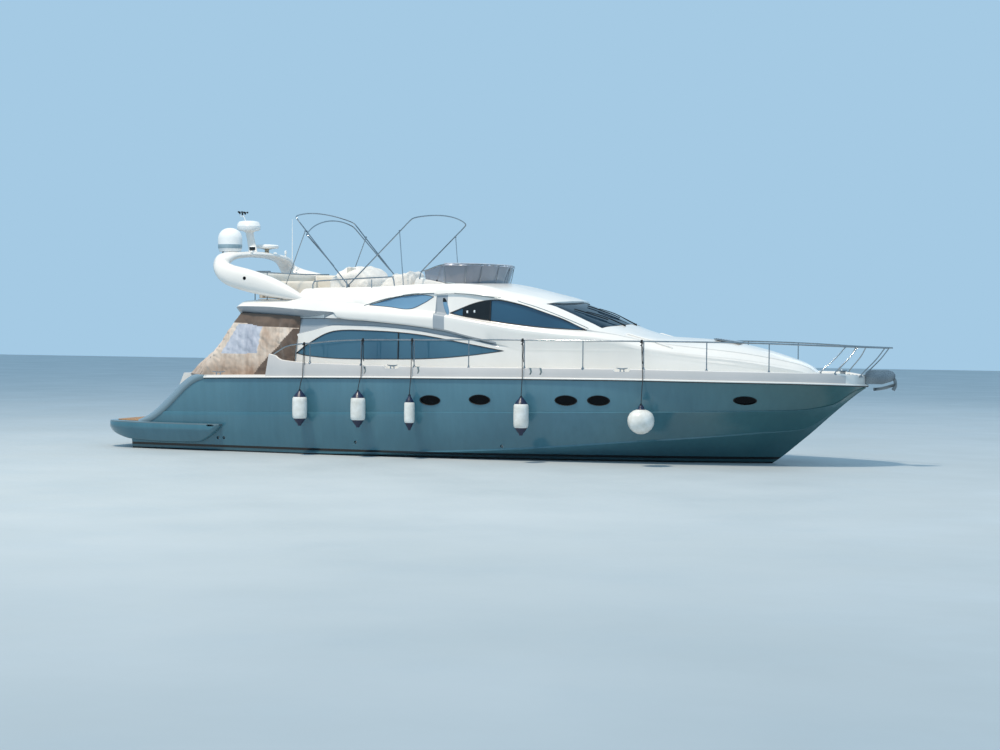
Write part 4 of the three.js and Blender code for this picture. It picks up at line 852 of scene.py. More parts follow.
def build_deck():
    """Deck moulding with non-slip side decks, mooring notches and a toe rail."""
    extra = [-4.36, -4.33, -4.3, -4.27, -4.24, -4.16, -4.0, -3.93, 8.3, 8.4]
    deck = piece(
        "deck_moulding", loft(deck_half, spread(-5.8, 8.46, 0.15, *extra)), [WHITE, ANTISLIP, SHADOW_LINE_GREY, TOE_RAIL_SHADE_GEL],
        stands_for=["deck"],
    )
    cuts = [
        block((-6.0, -3.95), (-WELL, WELL), (1.5, OVER_DECK)),
        block(BULKHEAD, DOORWAY, (1.5, OVER_DECK)),
        block((BULKHEAD[1], 2.25), (-CABIN, CABIN), (1.5, OVER_DECK)),
    ]
    for x in (-1.2, 3.84):
        for side in (-1, 1):
            y, top = HULL.at(x)[5], toe_top(x)
            notch = [(x - 0.22, top + 0.05), (x - 0.15, top - 0.055), (x + 0.15, top - 0.055), (x + 0.22, top + 0.05)]
            cuts.append(prism(notch, *reach(side, y - 0.2, y + 0.1)))
    for x, z in DECK_SLOTS:
        for side in (-1, 1):
            y = HULL.at(x)[5]
            slot = [
                (x - 0.02, z + 0.075), (x + 0.03, z + 0.075), (x + 0.055, z - 0.02), (x + 0.03, z - 0.075),
                (x - 0.005, z - 0.075), (x + 0.015, z - 0.02),
            ]
            cuts.append(prism(slot, *reach(side, y - 0.045, y + 0.1)))
    cut_away(deck, cuts)

    def finish(face):
        x, y, z = face.center
        half, rail, rise = HULL.at(x)[5], HULL.at(x)[6], TOE_RAIL.at(x)
        if face.normal.z > 0.9 and abs(y) < half - 0.16 and z < rail + rise - 0.03 and -4.2 < x < 8.0:
            return 1
        # Painted shadow: the insides of the scupper slots take the grey shadow line
        near_slot = any(abs(x - sx) < 0.075 and abs(z - sz) < 0.085 for sx, sz in DECK_SLOTS)
        if near_slot and half - 0.07 < abs(y) < half - 0.035:
            return 2
        # Painted shade: the toe rail's upright outer face takes the pale grey gelcoat
        return 3 if abs(y) > half - 0.06 and abs(face.normal.y) > 0.7 else 0

    paint(deck, finish)
    for x in (-1.2, 3.84):
        for name, side in SIDES.items():
            y, z = side * (HULL.at(x)[5] - 0.075), toe_top(x) - 0.055
            cleat(f"spring_cleat_{name}_{x:.0f}", (x, y, z), 0.24)
    for x in (-5.5, 7.45):
        for name, side in SIDES.items():
            y, z = side * (HULL.at(x)[5] - (0.16 if x < 0 else 0.3)), HULL.at(x)[6] + min(DECK_RISE, TOE_RAIL.at(x))
            cleat(f"mooring_cleat_{name}_{x:.0f}", (x, y, z), 0.32)


def cleat(name, foot, length, along=(1, 0, 0)):
    """A polished mooring cleat: two legs and two horns."""
    p, a = Vector(foot), Vector(along)
    up = Vector((0, 0, 1))
    horns = spline(
        [
            p - a * length / 2 + up * 0.075, p - a * length * 0.28 + up * 0.062, p + up * 0.055,
            p + a * length * 0.28 + up * 0.062, p + a * length / 2 + up * 0.075,
        ],
        4,
    )
    radii = [0.007 + 0.009 * sin(pi * i / (len(horns) - 1)) for i in range(len(horns))]
    parts = [tube(horns, radii, 8)]
    for s in (-0.16, 0.16):
        leg = p + a * length * s
        parts.append(tube([leg - up * 0.004, leg + up * 0.012, leg + up * 0.055], [0.02, 0.012, 0.011], 8))
    piece(name, join_parts(parts), STAINLESS)


def platform_half(x):
    """Half section of the platform: flat top, rounded edge and sloping underside."""
    half, foot, foot_half = PLATFORM.at(x)
    mid = min(max(foot + 0.09, 0.47), PLATFORM_TOP - 0.02)
    corners = [(0.0, foot), (foot_half, foot), (half, mid), (half - 0.012, PLATFORM_TOP), (0.0, PLATFORM_TOP)]
    out = rounded([(y, z, 0) for y, z in corners], [0.05, 0.035, 0.03], 3)
    return [(p.x, p.y) for p in out]


# x, half breadth, bottom z, half breadth of the bottom
PLATFORM = Line(
    [-8500, 1700, 420, 1600],
    [-8460, 1830, 385, 1720],
    [-8380, 1960, 350, 1850],
    [-8100, 2130, 265, 2000],
    [-7700, 2230, 200, 2120],
    [-6800, 2320, 170, 2190],
    [-6000, 2370, 185, 2230],
    [-5650, 2385, 320, 2300],
    [-5350, 2370, 560, 2330],
)


def build_platform():
    """The bathing platform with a wing along each side, and its laid teak."""
    part = loft(platform_half, spread(-8.5, -5.35, 0.11, -8.47, -8.44, -5.6, -5.5, -5.4))
    # The platform takes the slate gelcoat as painted shade, and the hull's gelcoat on its low and downward faces
    platform = piece(
        "platform_moulding", part, [QUARTER_SHADE_GEL, HULL_SIDE], stands_for=["swim_platform"]
    )
    stern = raw_mesh("stern", *loft(lambda x: hull_half(x, 0.0005), spread(-7.75, -4.9, 0.15)))
    stern_obj = place("stern", stern)
    cut_away(stern_obj, [([(x - 0.0003, y, z + 0.0003) for x, y, z in p], f, k) for p, f, k in STERN_CUTS])
    shape = ([tuple(v.co) for v in stern_obj.data.vertices], [tuple(f.vertices) for f in stern_obj.data.polygons])
    bpy.data.objects.remove(stern_obj)
    slots = [prism(oval(-5.56, 0.575, 0.09, 0.02, 16, 4), *reach(side, 2.25, 2.6)) for side in (-1, 1)]
    cut_away(platform, [shape, block((-7.4, -5.0), (-2.0, 2.0), (0, 1.2)), *slots])
    paint(platform, lambda face: int(face.center.z < 0.565 or face.normal.z < -0.2))
    outline = [
        (-8.37, -1.62), (-8.4, -1.3), (-8.41, 0), (-8.4, 1.3), (-8.37, 1.62), (-8.28, 1.78), (-8.1, 1.9),
        (-7.83, 1.965), (-7.6, 1.965), (-7.6, -1.965), (-7.83, -1.965), (-8.1, -1.9), (-8.28, -1.78),
    ]
    laid = raw_mesh("platform_planking", *prism(outline, 0.6103, 0.624, 2))
    link("platform_planking", bevelled(laid, 0.004), TEAK, stands_for=["platform_teak"])


# Deckhouse: x, base y, wall y, wall z, ledge y, ledge z, foot y, gutter y, gutter z, roof y, roof z, crown z
HOUSE = Line(
    [-420, 1900, 1880, 2608, 1935, 3085, 1790, 1745, 3492, 1300, 3500, 3500],
    [0, 1890, 1875, 2540, 1925, 3025, 1785, 1740, 3515, 1300, 3520, 3522],
    [670, 1860, 1850, 2430, 1900, 2915, 1760, 1715, 3455, 1300, 3490, 3505],
    [1490, 1800, 1800, 2330, 1850, 2795, 1720, 1665, 3290, 1300, 3385, 3450],
    [2050, 1740, 1740, 2290, 1800, 2730, 1690, 1630, 3110, 1300, 3295, 3395],
    [2400, 1700, 1700, 2270, 1760, 2695, 1670, 1610, 2995, 1250, 3180, 3315],
    [2960, 1630, 1630, 2240, 1690, 2650, 1600, 1570, 2760, 1200, 2960, 3085],
    [3500, 1550, 1555, 2200, 1590, 2580, 1500, 1400, 2665, 900, 2770, 2845],
    [4260, 1430, 1420, 2150, 1410, 2400, 1320, 1200, 2510, 700, 2600, 2640],
    [5200, 1260, 1240, 2110, 1190, 2290, 1100, 980, 2400, 600, 2530, 2585],
    [6000, 1040, 1010, 2070, 940, 2210, 860, 760, 2310, 450, 2430, 2470],
    [6870, 700, 670, 2000, 600, 2070, 540, 460, 2150, 250, 2215, 2232],
    [7290, 440, 410, 1940, 360, 1980, 320, 270, 2030, 150, 2060, 2070],
    [7460, 250, 230, 1885, 205, 1895, 180, 150, 1905, 80, 1915, 1920],
)
# The saloon's walls under the flybridge: x, base y, wall y, wall z, top y
SALOON_WALL = Line(
    [-3950, 1880, 1850, 2780, 1840], [-2600, 1900, 1870, 2780, 1860], [-1000, 1905, 1880, 2700, 1870],
    [-420, 1900, 1880, 2608, 1882],
)
# Flybridge coaming: x, underside y, lip y, lip z, shoulder y, shoulder z, top y, top z
TRAY = Line(
    [-5290, 1300, 1500, 3060, 1420, 3190, 1300, 3240],
    [-5262, 1440, 1720, 3090, 1630, 3215, 1480, 3265],
    [-5180, 1620, 1870, 3115, 1780, 3240, 1600, 3305],
    [-5060, 1680, 1915, 3125, 1825, 3270, 1620, 3338],
    [-4500, 1760, 1940, 3120, 1840, 3335, 1640, 3362],
    [-3900, 1790, 1950, 3110, 1850, 3330, 1640, 3380],
    [-3600, 1795, 1955, 3110, 1850, 3325, 1630, 3610],
    [-1900, 1800, 1955, 3060, 1850, 3225, 1620, 3652],
    [-900, 1800, 1950, 3010, 1840, 3130, 1620, 3705],
    [-430, 1800, 1940, 2985, 1835, 3085, 1620, 3718],
)
# Front of the flybridge: x, edge y, edge z, top y, top z, crown z
BROW = Line(
    [-470, 1735, 3420, 1620, 3718, 3735],
    [0, 1730, 3420, 1615, 3725, 3745],
    [500, 1715, 3415, 1545, 3695, 3762],
    [980, 1690, 3395, 1400, 3590, 3705],
    [1320, 1650, 3330, 1300, 3520, 3628],
    [1660, 1600, 3260, 1180, 3448, 3552],
    [2000, 1500, 3195, 1040, 3368, 3475],
    [2300, 1300, 3190, 850, 3310, 3368],
    [2420, 1000, 3200, 700, 3285, 3320],
)
# Lower edge of the long swept moulding, the moulding round the saloon window, and the arch over the side windows
SWEEP = Line(
    [-5200, 3070], [-4080, 3020], [-3540, 2990], [-3000, 3050], [-2790, 3085], [-2700, 2968], [-1990, 2905],
    [-960, 2812], [-150, 2700], [390, 2570], [1250, 2400], [1600, 2340],
)
SURROUND = Line(
    [-3950, 2560], [-3310, 2700], [-2780, 2815], [-2000, 2808], [-980, 2738], [-170, 2612], [380, 2540], [1210, 2362],
    [1600, 2300],
)
ARCH_LINE = Line([-2150, 3225], [-2070, 3240], [-1250, 3455], [-540, 3518], [-400, 3520])
# Side windows: x, z along the upper and the lower edge
SALOON_TOP = [(-3700, 2190), (-3360, 2430), (-2790, 2680), (-1890, 2700), (-800, 2630), (260, 2460), (1170, 2300)]
SALOON_FOOT = [(-3700, 2190), (-3360, 2130), (-2620, 2085), (-1520, 2090), (-510, 2115), (370, 2190), (1170, 2300)]
WHEELHOUSE_TOP = [(-100, 3090), (440, 3300), (810, 3370), (1130, 3350), (1830, 3180), (2510, 2930), (2920, 2750)]
WHEELHOUSE_FOOT = [(-100, 3090), (210, 3020), (810, 2930), (1870, 2810), (2920, 2750)]
# The windscreen's foot and head: y, x
SCREEN_FRONT = Line([-1370, 3160], [-900, 3300], [0, 3390], [900, 3300], [1370, 3160])
SCREEN_BACK = Line([-1750, 1760], [-1330, 1940], [-700, 2200], [0, 2285], [700, 2200], [1330, 1940], [1750, 1760])


# Where the deckhouse stands on the deck, and where the shape that hollows it begins, in metres
HOUSE_BASE = 1.76
CUT_BASE = 1.5
# Joint between the saloon sides and the coachroof, and the half breadth of the windscreen's glass
HOUSE_JOINT = -0.42
SCREEN_HALF = 1.33


def swept_wall(x, wall_y, wall_z, top_y, top_z, inset):
    """The side from the wall up to the ledge, with its recess under the swept moulding."""
    depth = ease((1.3 - x) / 0.6)
    low = min(SURROUND.at(x), top_z - 0.16)
    high = min(max(SWEEP.at(x), low + 0.03), top_z - 0.1)

    def y(z):
        t = min(max((z - wall_z) / (top_z - wall_z), 0), 1)
        return wall_y + (top_y - wall_y) * t - inset

    return [
        (y(wall_z), min(wall_z, low - 0.04)),
        (y(low) - 0.002, low - 0.012),
        (y(low) - 0.045 * depth, low + 0.012),
        (y(high) - 0.06 * depth, high - 0.008),
        (y(high) + 0.002 * depth, high + 0.002),
        (y(high) + 0.032 * depth, high + 0.04),
    ]


def saloon_half(x, inset=0.0):
    """Saloon sides aft of the swept moulding's rise."""
    base_y, wall_y, wall_z, top_y = SALOON_WALL.at(x)
    base_z = HOUSE_BASE if inset <= 0 else CUT_BASE
    low = SURROUND.at(x)
    wall_z = min(wall_z, low - 0.05)
    side = [
        (base_y - inset, base_z),
        ((base_y + wall_y) / 2 + 0.006 - inset, (HOUSE_BASE + wall_z) / 2),
        (wall_y - inset, wall_z),
        (wall_y - inset - 0.001, low - 0.012),
        (wall_y - inset - 0.045, low + 0.012),
        (top_y - inset - 0.07, 2.93 - inset),
        (top_y - inset - 0.08, 2.953 - inset),
    ]
    return [(0.0, side[0][1]), *side, (0.0, 2.954 - inset)]


def house_half(x, inset=0.0):
    """Half section of the deckhouse from its base to the crown of the roof."""
    base_y, wall_y, wall_z, ledge_y, ledge_z, foot_y, gutter_y, gutter_z, roof_y, roof_z, crown_z = HOUSE.at(x)
    base_z = HOUSE_BASE if inset <= 0 else CUT_BASE
    out = [(0.0, base_z), (base_y - inset, base_z)]
    out.append(((base_y + wall_y) / 2 - inset + 0.006, (HOUSE_BASE + wall_z) / 2))
    side = swept_wall(x, wall_y, wall_z, ledge_y, ledge_z, inset)
    out += side
    rise = ledge_z - wall_z
    soft = min(0.07, rise * 0.3)
    recess = 0.028 * window(x, -0.9, 3.15, 0.45) * (1 if inset <= 0 else 0)
    corners = [
        side[-1],
        (ledge_y - inset, ledge_z - soft * 1.3),
        (ledge_y - inset - 0.012, ledge_z - 0.01),
        (foot_y - inset - recess, ledge_z + 0.02),
        (gutter_y - inset - recess, gutter_z - inset - 0.008),
    ]
    points = rounded([(y, z, 0) for y, z in corners], [soft, soft * 0.8, 0.03], 3)
    out += [(p.x, p.y) for p in points[1:]]
    lip = 0.012 * window(x, -0.9, 3.3, 0.45) * (1 if inset <= 0 else 0)
    top = [
        (gutter_y - inset - recess, gutter_z - inset - 0.008),
        (gutter_y - inset + lip, gutter_z - inset),
        (gutter_y - inset + lip - 0.004, gutter_z - inset + 0.02 * ease(x / 1.5)),
        (roof_y - inset, roof_z - inset),
        (roof_y * 0.5, (roof_z * 0.35 + crown_z * 0.65) - inset),
        (0.0, crown_z - inset),
    ]
    soft = [0.002, 0.05, 0.12, 0.2]
    out += [(max(p.x, 0.0), p.y) for p in rounded([(y, z, 0) for y, z in top], soft, 3)[1:]]
    return out


def on_section(section, z):
    """Half breadth of an upright section at a height, on its outermost side."""
    best = 0.0
    for (y0, z0), (y1, z1) in zip(section, section[1:]):
        if min(z0, z1) <= z <= max(z0, z1) and abs(z1 - z0) > 1e-6:
            best = max(best, y0 + (y1 - y0) * (z - z0) / (z1 - z0))
    return best


def roof_height(x, y):
    """Height of the deckhouse's top surface."""
    section = house_half(x)
    y = abs(y)
    for (y0, z0), (y1, z1) in zip(reversed(section), list(reversed(section))[1:]):
        if min(y0, y1) <= y <= max(y0, y1) and abs(y1 - y0) > 1e-6:
            return z0 + (z1 - z0) * (y - y0) / (y1 - y0)
    return section[-1][1]


def on_roof(x, y, lift):
    """A point above the deckhouse's top."""
    return x, y, roof_height(x, y) + lift


def tray_half(x):
    """Half section of the flybridge coaming: underside, swept lip, shoulder, side and cockpit floor."""
    under, lip, lip_z, shoulder, shoulder_z, top, top_z = TRAY.at(x)
    low = SWEEP.at(x)
    back = x > -2.73
    cut = 0.03 * ease((x + 2.07) / 0.5)
    swell = 0.06 * ease((x + 2.3) / 1.7)

    def y(z):
        t = (z - shoulder_z) / (top_z - shoulder_z)
        return shoulder + (top - shoulder) * t + (swell + 0.012) * sin(pi * min(max(t, 0), 1))

    tuck = 0.15 * ease((-2.75 - x) / 0.5)
    shoulder_z = min(shoulder_z, top_z - 0.07)
    lip_z = min(lip_z + 0.09 * ease((-2.9 - x) / 1.6), shoulder_z - 0.03)
    step = min(0.03, (top_z - shoulder_z) * 0.3)
    arch = ARCH_LINE.at(x) if x > -2.1 else shoulder_z + 0.03
    arch = min(max(arch, shoulder_z + step + 0.008), top_z - 0.03)
    crisp = 1 - 0.7 * ease((-2.75 - x) / 0.5)
    face = [
        (lip - (0.07 if back else 0.04) - tuck, low),
        (lip - 0.012 - tuck * 0.92, low + (0.02 if back else 0.014)),
        (lip, lip_z),
        (shoulder + 0.012, shoulder_z),
        (y(shoulder_z + step) - cut, shoulder_z + step),
        (y(arch) - cut, arch - 0.006),
        (y(arch) + 0.008 * ease((x + 2.07) / 0.5), arch + 0.004),
    ]
    points = rounded([(a, b, 0) for a, b in face], [0.03, 0.06 * crisp, 0.07 * crisp, 0.02, 0.002], 3)
    out = [(0.0, 2.96), (under - 0.02, 2.96), (under + (0.03 if back else 0.01), low if back else 2.962)]
    out += [(p.x, p.y) for p in points]
    for t in (0.35, 0.7):
        z = arch + (top_z - 0.03 - arch) * t
        out.append((y(z), z))
    edge = [
        (y(top_z - 0.03), top_z - 0.03, 0), (top, top_z, 0), (top - 0.1, top_z + 0.004, 0), (top - 0.19, top_z, 0),
        (top - 0.205, 3.13, 0), (top - 0.225, FLY_SOLE, 0), (0, FLY_SOLE, 0),
    ]
    out += [(p.x, p.y) for p in rounded(edge, [0.03, 0.05, 0.03, 0.01, 0.01], 3)]
    return out


def brow_half(x):
    """Half section of the flybridge's front over the wheelhouse."""
    edge, edge_z, top, top_z, crown = BROW.at(x)
    t = ease((x - 0.3) / 0.9)
    if x < 1.3:
        gutter, gutter_z = HOUSE.at(max(x, HOUSE_JOINT))[6:8]
        edge = (gutter + 0.008) * (1 - t) + edge * t
        edge_z = (gutter_z + 0.002) * (1 - t) + edge_z * t
    low = min(edge_z, 3.42)
    rise = top_z - edge_z
    swell = [(edge + (top - edge) * k + 0.03 * sin(pi * k), edge_z + rise * k, 0) for k in (0, 0.35, 0.7)]
    line = [*swell, (top, top_z, 0), (top * 0.6, top_z * 0.4 + crown * 0.6, 0), (0, crown, 0)]
    points = rounded(line, [0.05, 0.05, min(0.1, rise * 0.6), 0.2], 3)
    return [(0.0, low), (edge - 0.06, low), (edge - 0.02, edge_z - 0.004), *[(p.x, p.y) for p in points]]


def screen_outline(count):
    """The windscreen's outline in plan, along its foot and back along its head."""
    foot = [(SCREEN_FRONT.at(y), y) for y in linspace(-SCREEN_HALF, SCREEN_HALF, count)]
    return foot + [(SCREEN_BACK.at(y), y) for y in linspace(SCREEN_HALF, -SCREEN_HALF, count)]


def window_edge(rows):
    """A window's edge in metres, from rows of x, z in millimetres."""
    return side_curve([(x * MM, z * MM) for x, z in rows], 7)


def window_outline(top, foot):
    """A window's whole edge in side view."""
    return [*window_edge(top), *reversed(window_edge(foot)[1:-1])]


# Thickness of the side glass
PANE = 0.006


def side_pane(name, top, foot, section, material, inset=0.012, span=None, node=None):
    """A pane between two curves that follows the side it is set in."""
    upper, lower = (Line(*[(x / MM, z / MM) for x, z in window_edge(rows)]) for rows in (top, foot))
    start, stop = span or (top[0][0] * MM + 0.012, top[-1][0] * MM - 0.012)
    for side_name, side in SIDES.items():
        sheets = []
        for depth in (inset, inset + PANE):
            rings = []
            for x in spread(start, stop, 0.09):
                z0, z1 = lower.at(x) + 0.006, upper.at(x) - 0.006
                if z1 - z0 < 0.004:
                    z0 = z1 = (z0 + z1) / 2
                    z0, z1 = z0 - 0.002, z1 + 0.002
                heights = [z0 + (z1 - z0) * k / 6 for k in range(7)]
                rings.append([(x, side * (on_section(section(x), z) - depth), z) for z in heights])
            sheets.append(rings)
        part = solid([[*a, *reversed(b)] for a, b in zip(*sheets)])
        nodes = [f"{node}_{side_name}"] if node else []
        piece(f"{name}_{side_name}", part, material, stands_for=nodes, sharp=60)


def side_trim(name, top, foot, section, radius, material, out=0.0):
    """A thin moulded seal round a side window."""
    for side_name, side in SIDES.items():
        path = [(x, side * (on_section(section(x), z) + out), z) for x, z in window_outline(top, foot)]
        piece(f"{name}_{side_name}", tube([*path, path[0]], radius, 6), material)


def build_house():
    """Deckhouse: saloon sides, wheelhouse, windscreen and coachroof, hollow, with its windows cut."""
    aft = piece(
        "saloon_sides", loft(saloon_half, spread(-3.95, HOUSE_JOINT, 0.16)), [WHITE, SHADE_WHITE, RECESS_SHADE_GEL],
        stands_for=["deckhouse"],
    )
    fore = piece(
        "coachroof", loft(house_half, spread(HOUSE_JOINT, 7.46, 0.13, 7.35, 7.4, 7.43)),
        [WHITE, SHADE_WHITE, RECESS_SHADE_GEL],
    )
    saloon = prism(window_outline(SALOON_TOP, SALOON_FOOT), -2.5, 2.5)
    wheelhouse = window_outline(WHEELHOUSE_TOP, WHEELHOUSE_FOOT)
    room_aft = loft(lambda x: saloon_half(x, 0.06), [-3.89, -3.2, -2.4, -1.6, -0.9, -0.41])
    doorway = block((-3.96, -3.88), DOORWAY, (1.0, 2.86))
    aft_window = block((-3.96, -3.88), (0.48, 1.48), (1.95, 2.8))
    cut_away(aft, [room_aft, saloon, doorway, aft_window])
    room = loft(lambda x: house_half(x, 0.06), spread(-0.43, 2.25, 0.3))
    under_glass = loft(lambda x: [(y, max(z, 2.33)) for y, z in house_half(x, 0.06)], spread(2.249, 3.5, 0.2))
    sides = [prism(wheelhouse, -2.5, -1.3), prism(wheelhouse, 1.3, 2.5)]
    cut_away(fore, [room, under_glass, prism(screen_outline(29), 2.5, 4.0, 2), saloon, *sides])

    # Painted shade: faces in the recess under the swept moulding take the blue-grey gelcoat
    def under_sweep_shade(face):
        x, y, z = face.center
        roof = x < -0.2 or z < max(SWEEP.at(x), SURROUND.at(x)) + 0.03
        return 2 if x < 1.0 and abs(y) > 1.55 and z > SURROUND.at(x) - 0.005 and roof else face.material_index

    for obj in (aft, fore):
        obj.data.set_sharp_from_angle(angle=radians(28))
        paint(obj, under_sweep_shade)
    tray = piece(
        "flybridge_coaming",
        loft(
            tray_half,
            spread(
                -5.29, -0.42, 0.13, -5.28, -5.26, -5.22, -5.16, -5.12, -5.08, -3.85, -3.8, -3.7, -3.65, -2.78, -2.74,
                -2.72, -2.7,
            ),
        ),
        [WHITE, RECESS_SHADE_GEL], stands_for=["flybridge"],
    )
    tray.data.set_sharp_from_angle(angle=radians(28))
    # Painted shade: the underside of the lip aft of the swept moulding takes the blue-grey gelcoat
    paint(tray, lambda face: int(face.center.x < -2.7 and face.normal.z < -0.15 and abs(face.center.y) > 1.2))
    for name, side in SIDES.items():
        nose = [(-2.69, 3.085), (-2.8, 3.05), (-2.97, 2.972), (-2.96, 2.964), (-2.69, 2.955)]
        part = raw_mesh("nose", *prism(nose, *reach(side, 1.8, 1.925)))
        link(f"sweep_nose_{name}", bevelled(part, 0.006), WHITE)
    rim = spline(
        [(-5.15, -1.42, 3.2), (-5.17, -0.7, 3.215), (-5.175, 0, 3.22), (-5.17, 0.7, 3.215), (-5.15, 1.42, 3.2)], 6
    )
    rings = [
        [
            (p.x - 0.1, p.y, 2.99), (p.x - 0.105, p.y, 3.2), (p.x - 0.08, p.y, 3.25), (p.x - 0.03, p.y, 3.262),
            (p.x + 0.06, p.y, 3.25), (p.x + 0.075, p.y, 3.1),
        ]
        for p in rim
    ]
    piece("flybridge_aft_rim", solid(rings), WHITE, sharp=50)
    brow = piece("flybridge_front", loft(brow_half, spread(-0.47, 2.42, 0.1, 2.37, 2.4)), WHITE)
    glazed = [(SCREEN_BACK.at(y) - 0.01, y) for y in linspace(-1.75, 1.75, 36)] + [(3.2, 1.75), (3.2, -1.75)]
    cut_away(brow, [block((-0.6, 1.3), (-1.0, 1.0), (3.3, 3.5)), prism(glazed, 3.0, 4.0, 2)])
    brow.data.set_sharp_from_angle(angle=radians(35))


def build_glass():
    """Tinted side glass, the windscreen, the blue-grey lens panels and their seals."""
    wall = lambda x: saloon_half(x) if x < HOUSE_JOINT else house_half(x)
    side_pane("saloon_glass", SALOON_TOP, SALOON_FOOT, wall, SIDE_GLASS, node="saloon_window")
    side_trim("saloon_seal", SALOON_TOP, SALOON_FOOT, wall, 0.011, BLACK_RUBBER, -0.006)
    side_pane(
        "wheelhouse_glass", WHEELHOUSE_TOP, WHEELHOUSE_FOOT, house_half, WHEELHOUSE_GLASS, node="wheelhouse_window"
    )
    side_trim("wheelhouse_seal", WHEELHOUSE_TOP, WHEELHOUSE_FOOT, house_half, 0.012, BLACK_RUBBER, -0.006)
    side_pane("opening_window", WHEELHOUSE_TOP, WHEELHOUSE_FOOT, house_half, SCREEN_BLACK, 0.002, (0.19, 0.81))
    for name, side in SIDES.items():
        for number, (x, z) in enumerate(((0.3, 3.12), (0.46, 3.13))):
            y = side * (on_section(house_half(x), z) + 0.004)
            part = join_parts(
                [
                    block((x - 0.016, x + 0.016), sorted((y, y + side * 0.012)), (z - 0.028, z + 0.028)),
                    lathe(
                        [(0, 0), (0.018, 0.001), (0.018, 0.012), (0, 0.016)], (x, y + side * 0.008, z), 12,
                        (0, side, 0),
                    ),
                ]
            )
            piece(f"window_latch_{name}_{number}", part, RADOME_WHITE)
        for number, (bar, z0, z1) in enumerate(((-1.24, 2.1, 2.66), (0.81, 2.945, 3.355))):
            section = wall if number == 0 else house_half
            points = [(bar, side * (on_section(section(bar), z) + 0.001), z) for z in linspace(z0, z1, 6)]
            piece(f"window_bar_{name}_{number}", tube(points, 0.013, 6), BLACK_RUBBER)
    lens_top = [(-1950, 3250), (-1500, 3385), (-1100, 3455), (-750, 3480), (-480, 3440)]
    lens_foot = [(-1950, 3250), (-1500, 3215), (-1030, 3170), (-700, 3300), (-480, 3440)]
    side_pane("lens_panel", lens_top, lens_foot, tray_half, BLUE_PANEL, -0.003)
    side_trim("lens_seal", lens_top, lens_foot, tray_half, 0.006, BLACK_RUBBER, 0.002)
    rings = []
    for y in linspace(-1.325, 1.325, 37):
        back, front = SCREEN_BACK.at(y) + 0.008, SCREEN_FRONT.at(y) - 0.008
        top = [on_roof(back + (front - back) * k / 12, y, -0.012) for k in range(13)]
        rings.append([*top, *[(x, y, z - 0.008) for x, y, z in reversed(top)]])
    piece("windscreen_glass", solid(rings), SCREEN_GLASS, stands_for=["windscreen"], sharp=60)
    path = [on_roof(x, y, -0.002) for x, y in screen_outline(25)]
    piece("windscreen_seal", tube([*path, path[0]], 0.008, 6), BLACK_RUBBER)
    for number, (pivot, tip) in enumerate((((3.4, -0.5), (2.46, -1.06)), ((3.4, 0.28), (2.5, -0.3)))):
        (x0, y0), (x1, y1) = pivot, tip
        on_way = lambda t, lift: Vector(on_roof(x0 + (x1 - x0) * t, y0 + (y1 - y0) * t, lift))
        arm = [on_way(t, 0.03 * sin(pi * min(t * 1.1, 1)) + 0.018) for t in linspace(0, 0.75, 8)]
        blade = [on_way(t, 0.012) + Vector((0, 0.06 * (t - 0.75), 0)) for t in linspace(0.32, 1.0, 12)]
        boss = lathe([(0, -0.01), (0.03, -0.01), (0.028, 0.03), (0, 0.036)], on_roof(x0, y0, 0), 14)
        bridge = tube([arm[-1], blade[7]], 0.009, 6)
        part = join_parts(
            [tube(arm, [0.014 - 0.006 * i / 7 for i in range(8)], 6), tube(blade, 0.011, 6), bridge, boss]
        )
        piece(f"wiper_{number}", part, BLACK_PLASTIC)
    for name, side in SIDES.items():
        bar = [on_roof(x, side * 1.18, 0.012) for x in linspace(3.72, 4.6, 12)]
        bar = [on_roof(3.66, side * 1.18, -0.01), *bar, on_roof(4.66, side * 1.18, -0.01)]
        piece(f"foredeck_grab_rail_{name}", tube(spline(bar, 3), 0.024, 10), WHITE)
        lamp_path = [(-0.25, 3.41), (-0.235, 3.36), (-0.2, 3.24), (-0.16, 3.12), (-0.135, 3.06)]
        rows = []
        for i, (x, z) in enumerate(side_curve(lamp_path, 3)):
            t = i / 12
            wide = 0.05 * sin(pi * min(max(t, 0.06), 0.96)) ** 0.6 + 0.004
            y = on_section(house_half(x), z)
            rows.append(
                [
                    (x - wide, side * (y - 0.004), z), (x - wide * 0.7, side * (y + 0.022), z),
                    (x, side * (y + 0.03), z), (x + wide * 0.7, side * (y + 0.022), z),
                    (x + wide, side * (y - 0.004), z),
                ]
            )
        piece(
            f"navigation_light_{name}", grid(rows, kind=lambda i, j: 0 if i < 4 else 1), [SCREEN_BLACK, BLUE_PANEL],
            sharp=60, outward=False,
        )
    # Painted shadow: thin grey lines along the gaps under the arch, along the roof's edge and under the swept
    # moulding
    gutter = [(-2.07, 3.24), (-1.65, 3.37), (-1.25, 3.455), (-0.9, 3.5), (-0.44, 3.519)]
    roof_edge = [
        (-0.3, 3.52), (0.2, 3.505), (0.67, 3.455), (1.2, 3.395), (1.55, 3.305), (1.9, 3.2), (2.4, 3.02), (2.95, 2.79)
    ]
    under = [(-2.66, 2.962), (-1.99, 2.9), (-0.96, 2.807), (-0.15, 2.695), (0.39, 2.565), (0.9, 2.462)]
    for name, side in SIDES.items():
        for label, rows, section in (
            ("arch_shadow_line", gutter, tray_half), ("gutter_shadow_line", roof_edge, house_half), ("sweep_shadow_line", under, wall)
        ):
            path = [(x, side * (on_section(section(x), z) - 0.002), z) for x, z in side_curve(rows, 5)]
            piece(f"{label}_{name}", tube(path, 0.011, 6), SHADOW_LINE_GREY)
    pane = bevelled(raw_mesh("pane", *block((-3.925, -3.905), (0.482, 1.478), (1.952, 2.798))), 0.004)
    link("saloon_aft_glass", pane, SIDE_GLASS, stands_for=["saloon_aft_window"])


